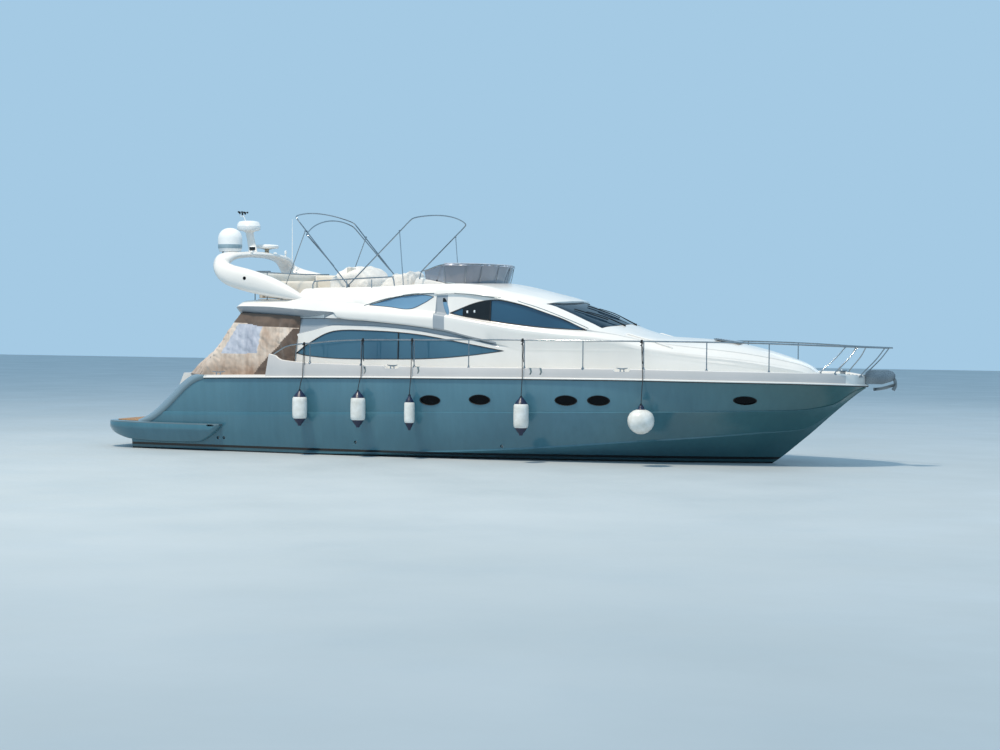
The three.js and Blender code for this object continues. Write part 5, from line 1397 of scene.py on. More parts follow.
# Flybridge fittings

# Foot of the screen round the upper helm: x, y; then the wheel's centre and its lean
SHIELD_PATH = [(-0.85, 1.31), (-0.35, 1.27), (0.0, 1.17), (0.18, 0.95), (0.34, 0.52), (0.4, 0.0)]
WHEEL = Vector((-1.12, -0.8, 3.62))
WHEEL_TILT = atan2(0.12, 0.28)


def offset_path(path):
    """A path with the outward direction at each point."""
    out = []
    for i, p in enumerate(path):
        a, b = path[max(i - 1, 0)], path[min(i + 1, len(path) - 1)]
        run = (Vector(b) - Vector(a)).normalized()
        out.append((p[0], p[1], run.y, -run.x))
    return out


def cushion(name, x, y, z, channels=3, axis=0, material=None, stands_for=()):
    """A stuffed pad: crowned faces, sides that pull in between the corners, and sewn channels."""
    (x0, x1), (y0, y1), (z0, z1) = x, y, z
    centre = Vector(((x0 + x1) / 2, (y0 + y1) / 2, (z0 + z1) / 2))
    half = Vector(((x1 - x0) / 2, (y1 - y0) / 2, (z1 - z0) / 2))
    count = 13
    bm = bmesh.new()
    bmesh.ops.create_cube(bm, size=2)
    bmesh.ops.subdivide_edges(bm, edges=bm.edges[:], cuts=count, use_grid_fill=True)
    thin = min(range(3), key=lambda k: half[k])
    wide = [k for k in range(3) if k != thin]
    for v in bm.verts:
        p = Vector(v.co)
        q = Vector((0, 0, 0))
        for k in range(3):
            others = [p[m] for m in range(3) if m != k]
            pull = 1 - 0.025 * (1 - others[0] ** 2) * (1 if k != thin else 0)
            q[k] = half[k] * p[k] * pull
        edge = max(abs(p[wide[0]]), abs(p[wide[1]]))
        crown = (1 - p[wide[0]] ** 4) * (1 - p[wide[1]] ** 4)
        groove = 0.0
        if channels > 1:
            t = (p[axis] + 1) / 2 * channels
            gap = abs(t - round(t)) / channels * 2 * half[axis]
            if 0 < round(t) < channels:
                groove = exp(-((gap / 0.02) ** 2))
        q[thin] *= 0.72 + 0.28 * crown - 0.13 * groove
        corner = max(0.0, edge - 0.86) / 0.14
        q[thin] *= 1 - 0.3 * corner**2
        wave = noise.noise(Vector((p.x * 2 + x0, p.y * 2 + y0, p.z + z0))) * 0.01
        q += Vector((wave, -wave, wave)) * 0.5
        v.co = centre + q
    mesh = bpy.data.meshes.new(name)
    bm.to_mesh(mesh)
    bm.free()
    obj = link(name, mesh, material or SEAT_VINYL, "yacht", stands_for, sharp=75)


def crumple(p, size, depth, seed):
    """How far loose cloth stands off at a point."""
    q = Vector(p) / size
    ridge = 1 - abs(noise.noise(q + Vector((seed, 0, 0))) * 2)
    fine = 1 - abs(noise.noise(q * 2.3 + Vector((0, seed, 0))) * 2)
    return depth * (ridge * 0.7 + fine * 0.3 - 0.5)


def loose_cover(name, half_rows, seed):
    """A loose cover over seats or a console: a crumpled sheet gathered in at its hem."""
    rings = []
    for x, low, high, y0, y1 in half_rows:
        ring = []
        for a in linspace(0, pi, 45):
            y = (y0 + y1) / 2 - (y1 - y0) / 2 * squared(cos(a), 0.5)
            ring.append(Vector((x, y, low + (high - low) * abs(sin(a)) ** 0.42)))
        rings.append(ring)
    out = []
    for i, ring in enumerate(rings):
        row = []
        for k, p in enumerate(ring):
            a, b = ring[max(k - 1, 0)], ring[min(k + 1, len(ring) - 1)]
            outward = Vector((0, -(b.z - a.z), b.y - a.y)).normalized()
            ends = 1.0 if 0 < i < len(rings) - 1 else 0.3
            row.append(p + (outward + Vector((0.2, 0, 0))) * crumple(p, 0.28, 0.055, seed) * ends)
        out.append(row)
    first, last = out[0], out[-1]
    middle = lambda row, dx: [
        Vector(
            (
                p.x + dx, (row[0].y + row[-1].y) / 2 + (p.y - (row[0].y + row[-1].y) / 2) * 0.94,
                p.z * 0.15 + row[0].z * 0.85,
            )
        )
        for p in row
    ]
    out = [middle(first, -0.015), *out, middle(last, 0.015)]
    obj = piece(name, grid(out), COVER, sharp=70, outward=False)


def build_windshield():
    """Smoked acrylic screen round the flybridge helm with a stainless rail, stays and a loose clear cover."""
    half = [(p.x, p.y) for p in spline([(x, y, 0) for x, y in SHIELD_PATH], 7)]
    full = [*half, *[(x, -y) for x, y in reversed(half[:-1])]]
    rows = offset_path(full)
    outer, rail_points = [], []
    for x, y, ox, oy in rows:
        end = ease((x + 0.87) / 0.5)
        head = 4.0 + 0.14 * end
        ring = []
        for t in (0, 0.25, 0.5, 0.75, 1.0):
            z = 3.715 + (head - 3.715) * t
            lean = 0.12 * t**1.15
            ring.append((x - ox * lean + ox * 0.004, y - oy * lean + oy * 0.004, z))
        back = [(px - ox * 0.007, py - oy * 0.007, pz) for px, py, pz in reversed(ring)]
        outer.append([*ring, *back])
        rail_points.append((x - ox * 0.122, y - oy * 0.122, head + 0.008))
    piece("flybridge_screen", solid(outer), SMOKED, stands_for=["fly_windshield"], sharp=60)
    start = Vector(rail_points[0])
    down = [Vector((start.x - 0.1, start.y + 0.03, 3.82)), Vector((start.x - 0.06, start.y + 0.01, 3.98))]
    down2 = [Vector((p.x, -p.y, p.z)) for p in reversed(down)]
    piece("screen_rail", tube(spline([*down, *rail_points[::3], *down2], 3), 0.013, 10), STAINLESS)
    posts = []
    for k in range(0, len(rows), 8):
        x, y, ox, oy = rows[k]
        top = Vector(rail_points[k])
        posts.append(
            tube([(x - ox * 0.02, y - oy * 0.02, 3.7), (x - ox * 0.07, y - oy * 0.07, 3.88), tuple(top)], 0.008, 6)
        )
        posts.append(block((x - 0.02, x + 0.02), (y - 0.02, y + 0.02), (3.7, 3.74)))
    piece("screen_posts", join_parts(posts), STAINLESS)
    for name, side in SIDES.items():
        piece(
            f"screen_stay_{name}", tube([(-0.62, side * 1.315, 3.72), (-0.5, side * 1.27, 4.11)], 0.02, 8),
            BLACK_PLASTIC,
        )
    cover = []
    for x, y, ox, oy in rows:
        if x < -0.42:
            continue
        ring = []
        for t in linspace(-0.05, 1.04, 16):
            z = 3.73 + 0.42 * t
            lean = 0.12 * max(t, 0) ** 1.15
            p = Vector((x - ox * (lean - 0.02), y - oy * (lean - 0.02), z))
            swell = 0.03 + crumple((x, y, z * 0.55), 0.13, 0.05, 3.1)
            ring.append(p + Vector((ox, oy, 0)) * max(0.006, swell))
        top = ring[-1]
        for t in (0.3, 0.7, 1.0):
            ring.append(top + Vector((-ox * 0.06 * t, -oy * 0.06 * t, 0.012 - 0.06 * t * t)))
        cover.append(ring)
    cover_obj = piece("screen_cover", grid(cover), CLEAR_VINYL, sharp=80, outward=False)


def build_console():
    """Helm console: moulded body, light-blue dash, instruments and throttle."""
    outline = [
        (-1.18, ON_FLY_SOLE), (-1.185, 3.46), (-1.21, 3.5), (-1.2, 3.54), (-1.07, 3.83), (-1.03, 3.855),
        (-0.98, 3.85), (-0.62, 3.78), (-0.4, 3.735), (-0.38, 3.7), (-0.38, ON_FLY_SOLE),
    ]
    body = raw_mesh("console", *prism(outline, -1.37, 1.37))
    link("helm_console_moulding", bevelled(body, 0.025, 3), WHITE, stands_for=["helm_console"])
    dash = [(-1.035, 3.866), (-0.98, 3.862), (-0.62, 3.79), (-0.2, 3.738), (-0.2, 3.73), (-1.03, 3.83)]
    piece("dash_top", prism(dash, -1.3, 1.3), DASH, bevel=(0.006,))
    slope = Vector((sin(WHEEL_TILT), 0, cos(WHEEL_TILT)))
    face = Vector((-cos(WHEEL_TILT), 0, sin(WHEEL_TILT)))
    centre = Vector((-1.135, 0, 3.685))
    for number, (y, up, wide, high) in enumerate(
        ((-0.42, 0.06, 0.2, 0.12), (-0.02, 0.06, 0.13, 0.1), (0.32, 0.05, 0.13, 0.09))
    ):
        mid = centre + slope * up + Vector((0, y, 0))
        ring = []
        for scale, out in ((1, -0.01), (1, 0.016), (0.95, 0.02), (0.92, 0.016), (0.9, 0.014)):
            ring.append(
                [
                    mid + face * out + slope * (v * high * scale) + Vector((0, u * wide * scale, 0))
                    for u, v in ((-1, -1), (1, -1), (1, 1), (-1, 1))
                ]
            )
        piece(f"display_{number}", solid(ring), SCREEN_BLACK, bevel=(0.006,))
    for number, y in enumerate((-1.2, -1.08, 0.62, 0.76, 0.9)):
        mid = centre + slope * 0.09 + Vector((0, y, 0))
        dial = lathe(
            [(0, 0), (0.045, 0), (0.045, 0.012), (0.038, 0.016), (0.036, 0.008), (0, 0.008)], mid, 20, face,
            [1, 0, 0, 0, 1],
        )
        piece(f"gauge_{number}", dial, [STAINLESS, SCREEN_BLACK])
    quad = []
    base = centre + Vector((0, -0.35, 0)) - slope * 0.1
    for dy in (-0.035, 0.035):
        arm = [
            base + Vector((0, dy, 0)), base + Vector((0, dy, 0)) + face * 0.08 + slope * 0.03,
            base + Vector((0, dy, 0)) + face * 0.14 + slope * 0.08,
        ]
        quad.append(tube(spline(arm, 4), 0.009, 8))
        quad.append(lathe([(0, -0.02), (0.02, -0.014), (0.022, 0.01), (0.012, 0.024), (0, 0.026)], arm[-1], 12, face))
    quad.append(lathe([(0, 0), (0.07, 0), (0.062, 0.03), (0.03, 0.045), (0, 0.046)], base, 20, face))
    piece("throttle_levers", join_parts(quad), STAINLESS)


def build_wheel():
    """The helm wheel with a padded rim, on its own body."""
    to_place = Matrix.Rotation(-pi / 2 + WHEEL_TILT, 4, "Y")
    spin = lambda part: ([to_place @ Vector(p) + WHEEL for p in part[0]], *part[1:])
    rim = [(0.19 * cos(a), 0.19 * sin(a), 0.11) for a in linspace(0, 2 * pi, 49)]
    piece(
        "wheel_rim", spin(tube(rim, 0.0155, 12, caps=False)), BLACK_RUBBER, "helm_wheel",
        ["helm_wheel"],
    )
    spokes = []
    for i in range(3):
        a = pi / 2 + 2 * pi * i / 3
        d = Vector((cos(a), sin(a), 0))
        spokes.append(
            tube(
                [
                    d * 0.02 + Vector((0, 0, 0.098)), d * 0.09 + Vector((0, 0, 0.112)),
                    d * 0.185 + Vector((0, 0, 0.11)),
                ],
                [0.014, 0.01, 0.011], 8,
            )
        )
    spokes.append(
        lathe([(0, 0.002), (0.03, 0.002), (0.034, 0.09), (0.04, 0.105), (0.034, 0.124), (0, 0.13)], (0, 0, 0), 24)
    )
    piece("wheel_spokes", spin(join_parts(spokes)), STAINLESS, "helm_wheel")


# Name, x, y and z of each pad, its channels, and the axis that they follow one another along
SETTEE_CUSHIONS = [
    ("settee_seat_aft", (-4.8, -4.34), (-1.18, 1.18), (3.38, 3.53), 5, 1),
    ("settee_seat_starboard", (-4.33, -3.12), (-1.2, -0.82), (3.38, 3.53), 3, 0),
    ("settee_seat_port", (-4.33, -3.12), (0.82, 1.2), (3.38, 3.53), 3, 0),
    ("settee_back_aft", (-4.95, -4.8), (-1.32, 1.32), (3.4, 3.96), 6, 1),
    ("settee_back_port", (-4.78, -3.5), (1.2, 1.35), (3.4, 3.97), 4, 0),
    ("settee_back_starboard", (-4.78, -3.5), (-1.34, -1.2), (3.4, 3.78), 4, 0),
]
HELM_SEAT_CUSHIONS = [
    ("helm_seat_cushion", (-2.56, -2.12), (-1.34, -0.16), (3.44, 3.6), 2, 1),
    ("helm_seat_back", (-2.78, -2.6), (-1.34, -0.16), (3.5, 4.08), 2, 1),
]
SOFA_CUSHIONS = [
    ("sofa_seat", (-3.28, -0.92), (0.86, 1.4), (1.42, 1.58), 4, 0),
    ("sofa_back", (-3.28, -0.92), (1.42, 1.62), (1.44, 1.98), 4, 0),
]
LOWER_SEAT_CUSHIONS = [
    ("lower_seat_cushion", (0.52, 1.06), (-1.24, -0.66), (1.55, 1.72), 2, 1),
    ("lower_seat_back", (0.44, 0.58), (-1.24, -0.66), (1.62, 2.25), 2, 1),
]


def build_seats():
    """Settee and helm seat mouldings with their cushions, and the loose covers over them."""
    base = [(-4.95, ON_FLY_SOLE), (-4.95, 3.38), (-3.1, 3.38), (-3.1, ON_FLY_SOLE)]
    seat = piece(
        "settee_moulding", prism(base, -1.34, 1.34), WHITE, stands_for=["fly_settee"], bevel=(0.02,)
    )
    cut_away(seat, [block((-4.33, -3.0), (-0.8, 0.8), (3.1205, 4.0))])
    for row in SETTEE_CUSHIONS:
        cushion(*row)
    pedestal = [(-2.16, ON_FLY_SOLE), (-2.13, 3.44), (-2.74, 3.46), (-2.74, ON_FLY_SOLE)]
    piece(
        "helm_seat_moulding", prism(pedestal, -1.35, -0.15), WHITE, stands_for=["helm_seat"],
        bevel=(0.03, 3),
    )
    for row in HELM_SEAT_CUSHIONS:
        cushion(*row)
    rows = [
        (-3.14, 3.66, 3.86, -1.35, 0.3), (-3.0, 3.6, 4.02, -1.38, 0.4), (-2.85, 3.56, 4.1, -1.39, 0.45),
        (-2.68, 3.54, 4.12, -1.39, 0.42), (-2.5, 3.54, 4.07, -1.39, 0.3), (-2.36, 3.58, 3.94, -1.37, 0.1),
        (-2.25, 3.62, 3.8, -1.33, -0.1),
    ]
    loose_cover("seat_cover", between(rows, 5), 5.0)
    rows = [
        (-1.98, 3.5, 3.68, -1.3, -0.62), (-1.8, 3.5, 3.86, -1.36, -0.5), (-1.62, 3.5, 3.95, -1.37, -0.42),
        (-1.45, 3.5, 3.93, -1.37, -0.4), (-1.3, 3.52, 4.0, -1.36, -0.42), (-1.2, 3.56, 3.92, -1.34, -0.5),
    ]
    loose_cover("console_cover", between(rows, 4), 2.0)


def build_fly_rail():
    """The guard rail round the aft end of the flybridge."""
    z = 3.99
    top = [(-4.56, -1.47), (-4.9, -1.44), (-5.05, -1.3), (-5.13, 0), (-5.05, 1.3), (-4.9, 1.44), (-4.56, 1.47)]
    parts = [tube(spline([(x, y, z) for x, y in top], 8), 0.0155, 12)]
    for x, y in ((-4.64, -1.465), (-5.06, -1.25), (-5.128, 0), (-5.06, 1.25), (-4.64, 1.465)):
        foot = TRAY.at(x)[6] if x > -5 else 3.262
        parts.append(tube([(x, y, foot - 0.012), (x, y, z)], 0.0125, 10))
        parts.append(
            lathe([(0, -0.012), (0.034, -0.01), (0.034, 0.004), (0.016, 0.014), (0, 0.014)], (x, y, foot), 14)
        )
    piece("aft_guard_rail", join_parts(parts), STAINLESS, stands_for=["fly_rail"])
    for name, side in SIDES.items():
        grab = [
            (-3.42, side * 1.64, 3.62), (-3.4, side * 1.63, 3.74), (-3.2, side * 1.63, 3.78),
            (-1.65, side * 1.62, 3.86), (-1.5, side * 1.62, 3.84), (-1.46, side * 1.63, 3.68),
        ]
        parts = [tube(spline(grab, 5), 0.0135, 10)]
        for x in (-2.6, -2.0):
            parts.append(tube([(x, side * 1.63, 3.63), (x, side * 1.625, 3.81)], 0.011, 8))
        piece(f"coaming_grab_rail_{name}", join_parts(parts), STAINLESS)


# Radar arch: side-view centre, half breadth, run, sideways direction, half width, half height
ARCH_LEG = [
    ((-3.48, 3.335), 1.74, (-0.86, 0.4), (0, 1), 0.04, 0.03),
    ((-3.9, 3.475), 1.72, (-0.86, 0.5), (0, 1), 0.12, 0.13),
    ((-4.4, 3.63), 1.72, (-0.94, 0.34), (0, 1), 0.165, 0.215),
    ((-4.95, 3.775), 1.715, (-0.96, 0.28), (0, 1), 0.185, 0.25),
    ((-5.45, 3.91), 1.7, (-0.95, 0.32), (0.15, 1), 0.19, 0.235),
    ((-5.69, 4.085), 1.64, (-0.5, 0.85), (0.6, 0.8), 0.185, 0.19),
    ((-5.73, 4.25), 1.5, (0, 0.75), (1, 0.1), 0.195, 0.145),
    ((-5.71, 4.35), 1.2, (0.02, 0.22), (1, 0), 0.2, 0.095),
    ((-5.67, 4.4), 0.6, (0, 0.06), (1, 0), 0.195, 0.07),
    ((-5.65, 4.412), 0.0, (0, 0), (1, 0), 0.195, 0.07),
]
# How far each of those runs turns inward
ARCH_INWARD = [0, 0, 0, 0, 0.25, 0.6, 0.75, 1, 1, 1]


def build_arch():
    """The radar arch: two swelling legs swept into one cross beam."""
    rows = []
    for ((x, z), y, (tx, tz), (sx, sy), wide, high), inward in zip(ARCH_LEG, ARCH_INWARD):
        rows.append([x, y, z, tx, -inward, tz, sx, sy, wide, high])
    near = np.array(rows)
    across = np.array([1, -1, 1, -1, 1, -1, 1, -1, 1, 1])
    stations = [near[0], *near, *(near[-2::-1] * across), near[0] * across]
    rings = []
    for r in through(stations, 5):
        centre, along = Vector(r[:3]), Vector(r[3:6]).normalized()
        side = Vector((r[6], r[7], 0))
        side = (side - along * side.dot(along)).normalized()
        up = along.cross(side).normalized()
        wide, high = side * r[8], up * r[9]
        rings.append([centre + wide * squared(cos(a), 0.9) + high * squared(sin(a), 0.9) for a in turn_round(28)])
    piece("radar_arch_moulding", solid(rings), WHITE, stands_for=["radar_arch"], sharp=60)
    for name, side in SIDES.items():
        lamp = lathe(
            [(0, -0.012), (0.04, -0.01), (0.04, 0.014), (0.03, 0.024), (0, 0.028)], (-4.98, side * 1.885, 3.83), 18,
            (0, side, 0), [0, 0, 1, 1],
        )
        piece(f"arch_lamp_{name}", lamp, [STAINLESS, PORT_GLASS])


def build_aerials():
    """Satellite dome, radar on its mast, flat television aerial, wind sensors and lamps on the arch."""
    dome = [
        (0, 4.45), (0.235, 4.45), (0.25, 4.475), (0.252, 4.5), (0.27, 4.52), (0.275, 4.6), (0.275, 4.615),
        (0.276, 4.74),
    ]
    for k in range(1, 9):
        a = pi / 2 * k / 8
        dome.append((0.275 * cos(a) ** 0.9 if k < 8 else 0.0, 4.74 + 0.25 * sin(a)))
    kinds = [0, 0, 0, 0, 1, 1, 0] + [0] * 20
    part = lathe(dome, (-5.84, -1.0, 0), 40, kinds=kinds)
    piece(
        "satellite_dome", part, [RADOME_WHITE, RADOME_BLUE], stands_for=["satcom_dome"], sharp=40
    )
    feet = [
        lathe(
            [(0, 4.36), (0.028, 4.36), (0.028, 4.4), (0.018, 4.41), (0.018, 4.452), (0, 4.452)],
            (-5.84 + 0.16 * cos(a), -1.0 + 0.16 * sin(a), 0), 12,
        )
        for a in linspace(0.5, 2 * pi + 0.5, 5)[:-1]
    ]
    piece("dome_feet", join_parts(feet), BLACK_RUBBER)
    rings = []
    for z, x, long, wide in (
        (4.42, -5.78, 0.13, 0.06), (4.5, -5.8, 0.11, 0.05), (4.75, -5.85, 0.1, 0.045), (4.93, -5.89, 0.1, 0.05),
        (4.965, -5.9, 0.17, 0.12), (4.975, -5.9, 0.17, 0.12),
    ):
        rings.append([(x + long * cos(a), wide * sin(a), z) for a in turn_round(24)])
    piece("radar_mast_moulding", solid(rings), WHITE, stands_for=["radar_mast"], sharp=50)
    scan = [
        (0, 4.965), (0.2, 4.966), (0.26, 4.985), (0.272, 5.02), (0.274, 5.06), (0.274, 5.068), (0.268, 5.075),
        (0.262, 5.13), (0.225, 5.18), (0.12, 5.2), (0, 5.205),
    ]
    piece(
        "radar_scanner", lathe(scan, (-5.91, 0, 0), 40, kinds=[0] * 5 + [1] + [0] * 5), [RADOME_WHITE, RADOME_BLUE],
        sharp=40,
    )
    disc = [
        (0, 4.42), (0.055, 4.42), (0.05, 4.55), (0.12, 4.566), (0.25, 4.58), (0.276, 4.6), (0.278, 4.635),
        (0.25, 4.66), (0.1, 4.67), (0, 4.672),
    ]
    piece(
        "television_aerial", lathe(disc, (-5.69, 0.48, 0), 40, kinds=[1, 1, 1] + [0] * 7), [RADOME_WHITE, BEIGE_ABS],
        stands_for=["tv_antenna"], sharp=40,
    )
    mast = tube(
        spline([(-5.9, 0.16, 4.46), (-5.96, 0.15, 4.75), (-6.06, 0.12, 5.2), (-6.13, 0.1, 5.35)], 4), 0.011, 8
    )
    arms = [
        tube([(-6.13, 0.1, 5.31), (-6.19, 0.08, 5.32), (-6.19, 0.08, 5.37)], 0.007, 6),
        tube([(-6.12, 0.1, 5.31), (-6.07, 0.12, 5.32), (-6.07, 0.12, 5.36)], 0.007, 6),
    ]
    piece("sensor_pole", join_parts([mast, *arms]), RADOME_WHITE)
    cups = []
    for x, y, z in ((-6.19, 0.08, 5.365), (-6.07, 0.12, 5.355)):
        cups.append(lathe([(0, 0), (0.018, 0), (0.018, 0.05), (0.01, 0.06), (0, 0.06)], (x, y, z), 10))
        for a in (0.4, 2.5, 4.6):
            end = Vector((x + 0.05 * cos(a), y + 0.05 * sin(a), z + 0.045))
            cups.append(tube([(x, y, z + 0.045), tuple(end)], 0.005, 5))
            cups.append(lathe([(0, -0.024), (0.017, -0.014), (0.024, 0.004), (0.02, 0.018), (0, 0.022)], end, 8))
    cups.append(tube([(-6.13, 0.1, 5.34), (-6.14, 0.1, 5.4)], 0.02, 8))
    piece("wind_sensors", join_parts(cups), BLACK_PLASTIC)
    outline = [(0, 4.41), (0.05, 4.41), (0.05, 4.5), (0.07, 4.52), (0.07, 4.58), (0.05, 4.6), (0, 4.6)]
    lamp = lathe(outline, (-5.62, -0.36, 0), 20, kinds=[0, 0, 1, 1, 0, 0])
    piece("all_round_lamp", lamp, [RADOME_WHITE, SCREEN_BLACK], sharp=40)
    small = []
    for x, y, r, h in ((-5.5, -0.62, 0.045, 0.07), (-5.72, 0.95, 0.05, 0.09), (-5.55, 1.15, 0.03, 0.14)):
        small.append(
            lathe(
                [
                    (0, 4.36), (0.02, 4.36), (0.018, 4.4 + h * 0.5), (r, 4.41 + h * 0.5), (r * 0.95, 4.4 + h),
                    (0, 4.42 + h),
                ],
                (x, y, 0), 16,
            )
        )
    piece("aerial_mushrooms", join_parts(small), RADOME_WHITE)
    piece(
        "whip_aerial", tube([(-5.45, 1.3, 4.32), (-5.45, 1.3, 4.5), (-5.46, 1.31, 5.3)], [0.014, 0.012, 0.005], 8),
        RADOME_WHITE,
    )


# Canopy frame: the hoops and struts keep to their pivots

# x, z of the pivot on the coaming and of the two hoops' far ends
PIVOT = (-2.62, 3.675)
AFT_END = (-3.94, 5.21)
FORWARD_END = (-1.08, 5.14)


def on_leg(end, share):
    """A point some way from the pivot to a hoop's end."""
    return (PIVOT[0] + (end[0] - PIVOT[0]) * share, PIVOT[1] + (end[1] - PIVOT[1]) * share)


def hoop_path(start, near, far, half, crown, lean):
    """A bent bar across the boat from its pivots up to a crowned top."""
    points = [(near[0], -(half - 0.07), near[1])]
    for f in (-0.6, -0.2, 0.2, 0.6):
        t, rise = (f + 1) / 2, crown * (1 - f * f)
        points.append(
            (
                near[0] * (1 - t) + far[0] * t + rise * lean[0], f * half,
                near[1] * (1 - t) + far[1] * t + rise * lean[1],
            )
        )
    points.append((far[0], half - 0.07, far[1]))
    leg = lambda end, side, t: (start[0] + (end[0] - start[0]) * t, side * half, start[1] + (end[1] - start[1]) * t)
    path = spline([leg(near, -1, 0.86), leg(near, -1, 0.93), *points, leg(far, 1, 0.93), leg(far, 1, 0.86)], 6)
    return [leg(near, -1, 0), leg(near, -1, 0.5), *path, leg(far, 1, 0.5), leg(far, 1, 0)]


def eye_end(pin, side, radius=0.02, half=0.03):
    """A cast eye where a bar is pinned."""
    return lathe([(0, -half), (radius, -half), (radius * 1.15, 0), (radius, half), (0, half)], pin, 14, (0, side, 0))


def bar_across(x, z, y0, y1, radius):
    return tube([(x, y0, z), (x, y1, z)], radius, 8)


def build_canopy_frame():
    """Three bare stainless hoops with their struts, each on the body that swings it."""
    middle = on_leg(AFT_END, 0.28)
    aft = [tube(hoop_path(PIVOT, AFT_END, AFT_END, 1.5, 0.17, (-0.66, 0.75)), 0.014, 10)]
    for side in (-1, 1):
        aft.append(bar_across(*middle, side * 1.483, side * 1.5, 0.007))
        aft.append(eye_end((PIVOT[0], side * 1.5, PIVOT[1]), side, 0.017, 0.012))
        pin = on_leg(AFT_END, 0.78)
        aft.append(eye_end((pin[0], side * 1.5, pin[1]), side, 0.019, 0.014))
    piece("canopy_aft_hoop", join_parts(aft), STAINLESS, "yacht", ["bimini_aft_hoop"])
    path = hoop_path(middle, (-3.69, 4.83), (-3.95, 5.13), 1.47, 0.19, (-0.3, 1))
    piece(
        "canopy_middle_hoop", tube(path, 0.014, 10), STAINLESS, "bimini_middle_hoop",
        ["bimini_middle_hoop"],
    )
    path = hoop_path(PIVOT, FORWARD_END, FORWARD_END, 1.53, 0.17, (0.72, 0.69))
    piece(
        "canopy_forward_hoop", tube(path, 0.014, 10), STAINLESS, "bimini_forward_hoop",
        ["bimini_forward_hoop"],
    )
    props = {
        "aft": (on_leg(AFT_END, 0.78), (-4.22, 3.44), 1.5),
        "forward": (on_leg(FORWARD_END, 0.81), (-1.277, 3.74), 1.53),
    }
    for which, (pin, foot, hoop_half) in props.items():
        for name, side in SIDES.items():
            y = side * 1.57
            ground = TRAY.at(foot[0])[6] - 0.01
            bend = Vector((foot[0], y, foot[1]))
            top = Vector((pin[0], y, pin[1]))
            run = (top - bend).normalized()
            path = spline(
                [(foot[0], y, ground), (foot[0], y, (ground + bend.z) / 2), bend + run * 0.06, bend + run * 0.16], 4
            )
            parts = [
                tube([*path, bend + run * (top - bend).length * 0.5, top], 0.01, 8),
                bar_across(pin[0], pin[1], side * (hoop_half + 0.0125), y, 0.007), eye_end(top, side, 0.016, 0.012),
            ]
            body = "yacht" if which == "aft" else f"forward_prop_{name}"
            piece(f"{which}_strut_{name}", join_parts(parts), STAINLESS, body, [f"{which}_prop_{name}"])
    for name, side in SIDES.items():
        lugs = [
            block((PIVOT[0] - 0.022, PIVOT[0] + 0.022), reach(side, a, b), (3.64, PIVOT[1] + 0.024))
            for a, b in ((1.5419, 1.55), (1.473, 1.4881))
        ]
        lugs.append(block((PIVOT[0] - 0.045, PIVOT[0] + 0.045), reach(side, 1.46, 1.56), (3.632, 3.645)))
        lug = bevelled(raw_mesh("lug", *join_parts(lugs)), 0.002)
        link(f"canopy_bracket_{name}", lug, STAINLESS)
        foot_z = TRAY.at(-4.22)[6]
        socket = lathe(
            [(0, -0.01), (0.035, -0.01), (0.035, 0.006), (0.017, 0.02), (0.017, 0.045), (0, 0.045)],
            (-4.22, side * 1.57, foot_z), 16,
        )
        piece(f"strut_socket_{name}", socket, STAINLESS)


# Canvas round the cockpit


def canvas_front(z):
    """Where the sheet's front edge hangs at a height."""
    return -3.76 + 0.13 * (z - 1.67) / 1.29


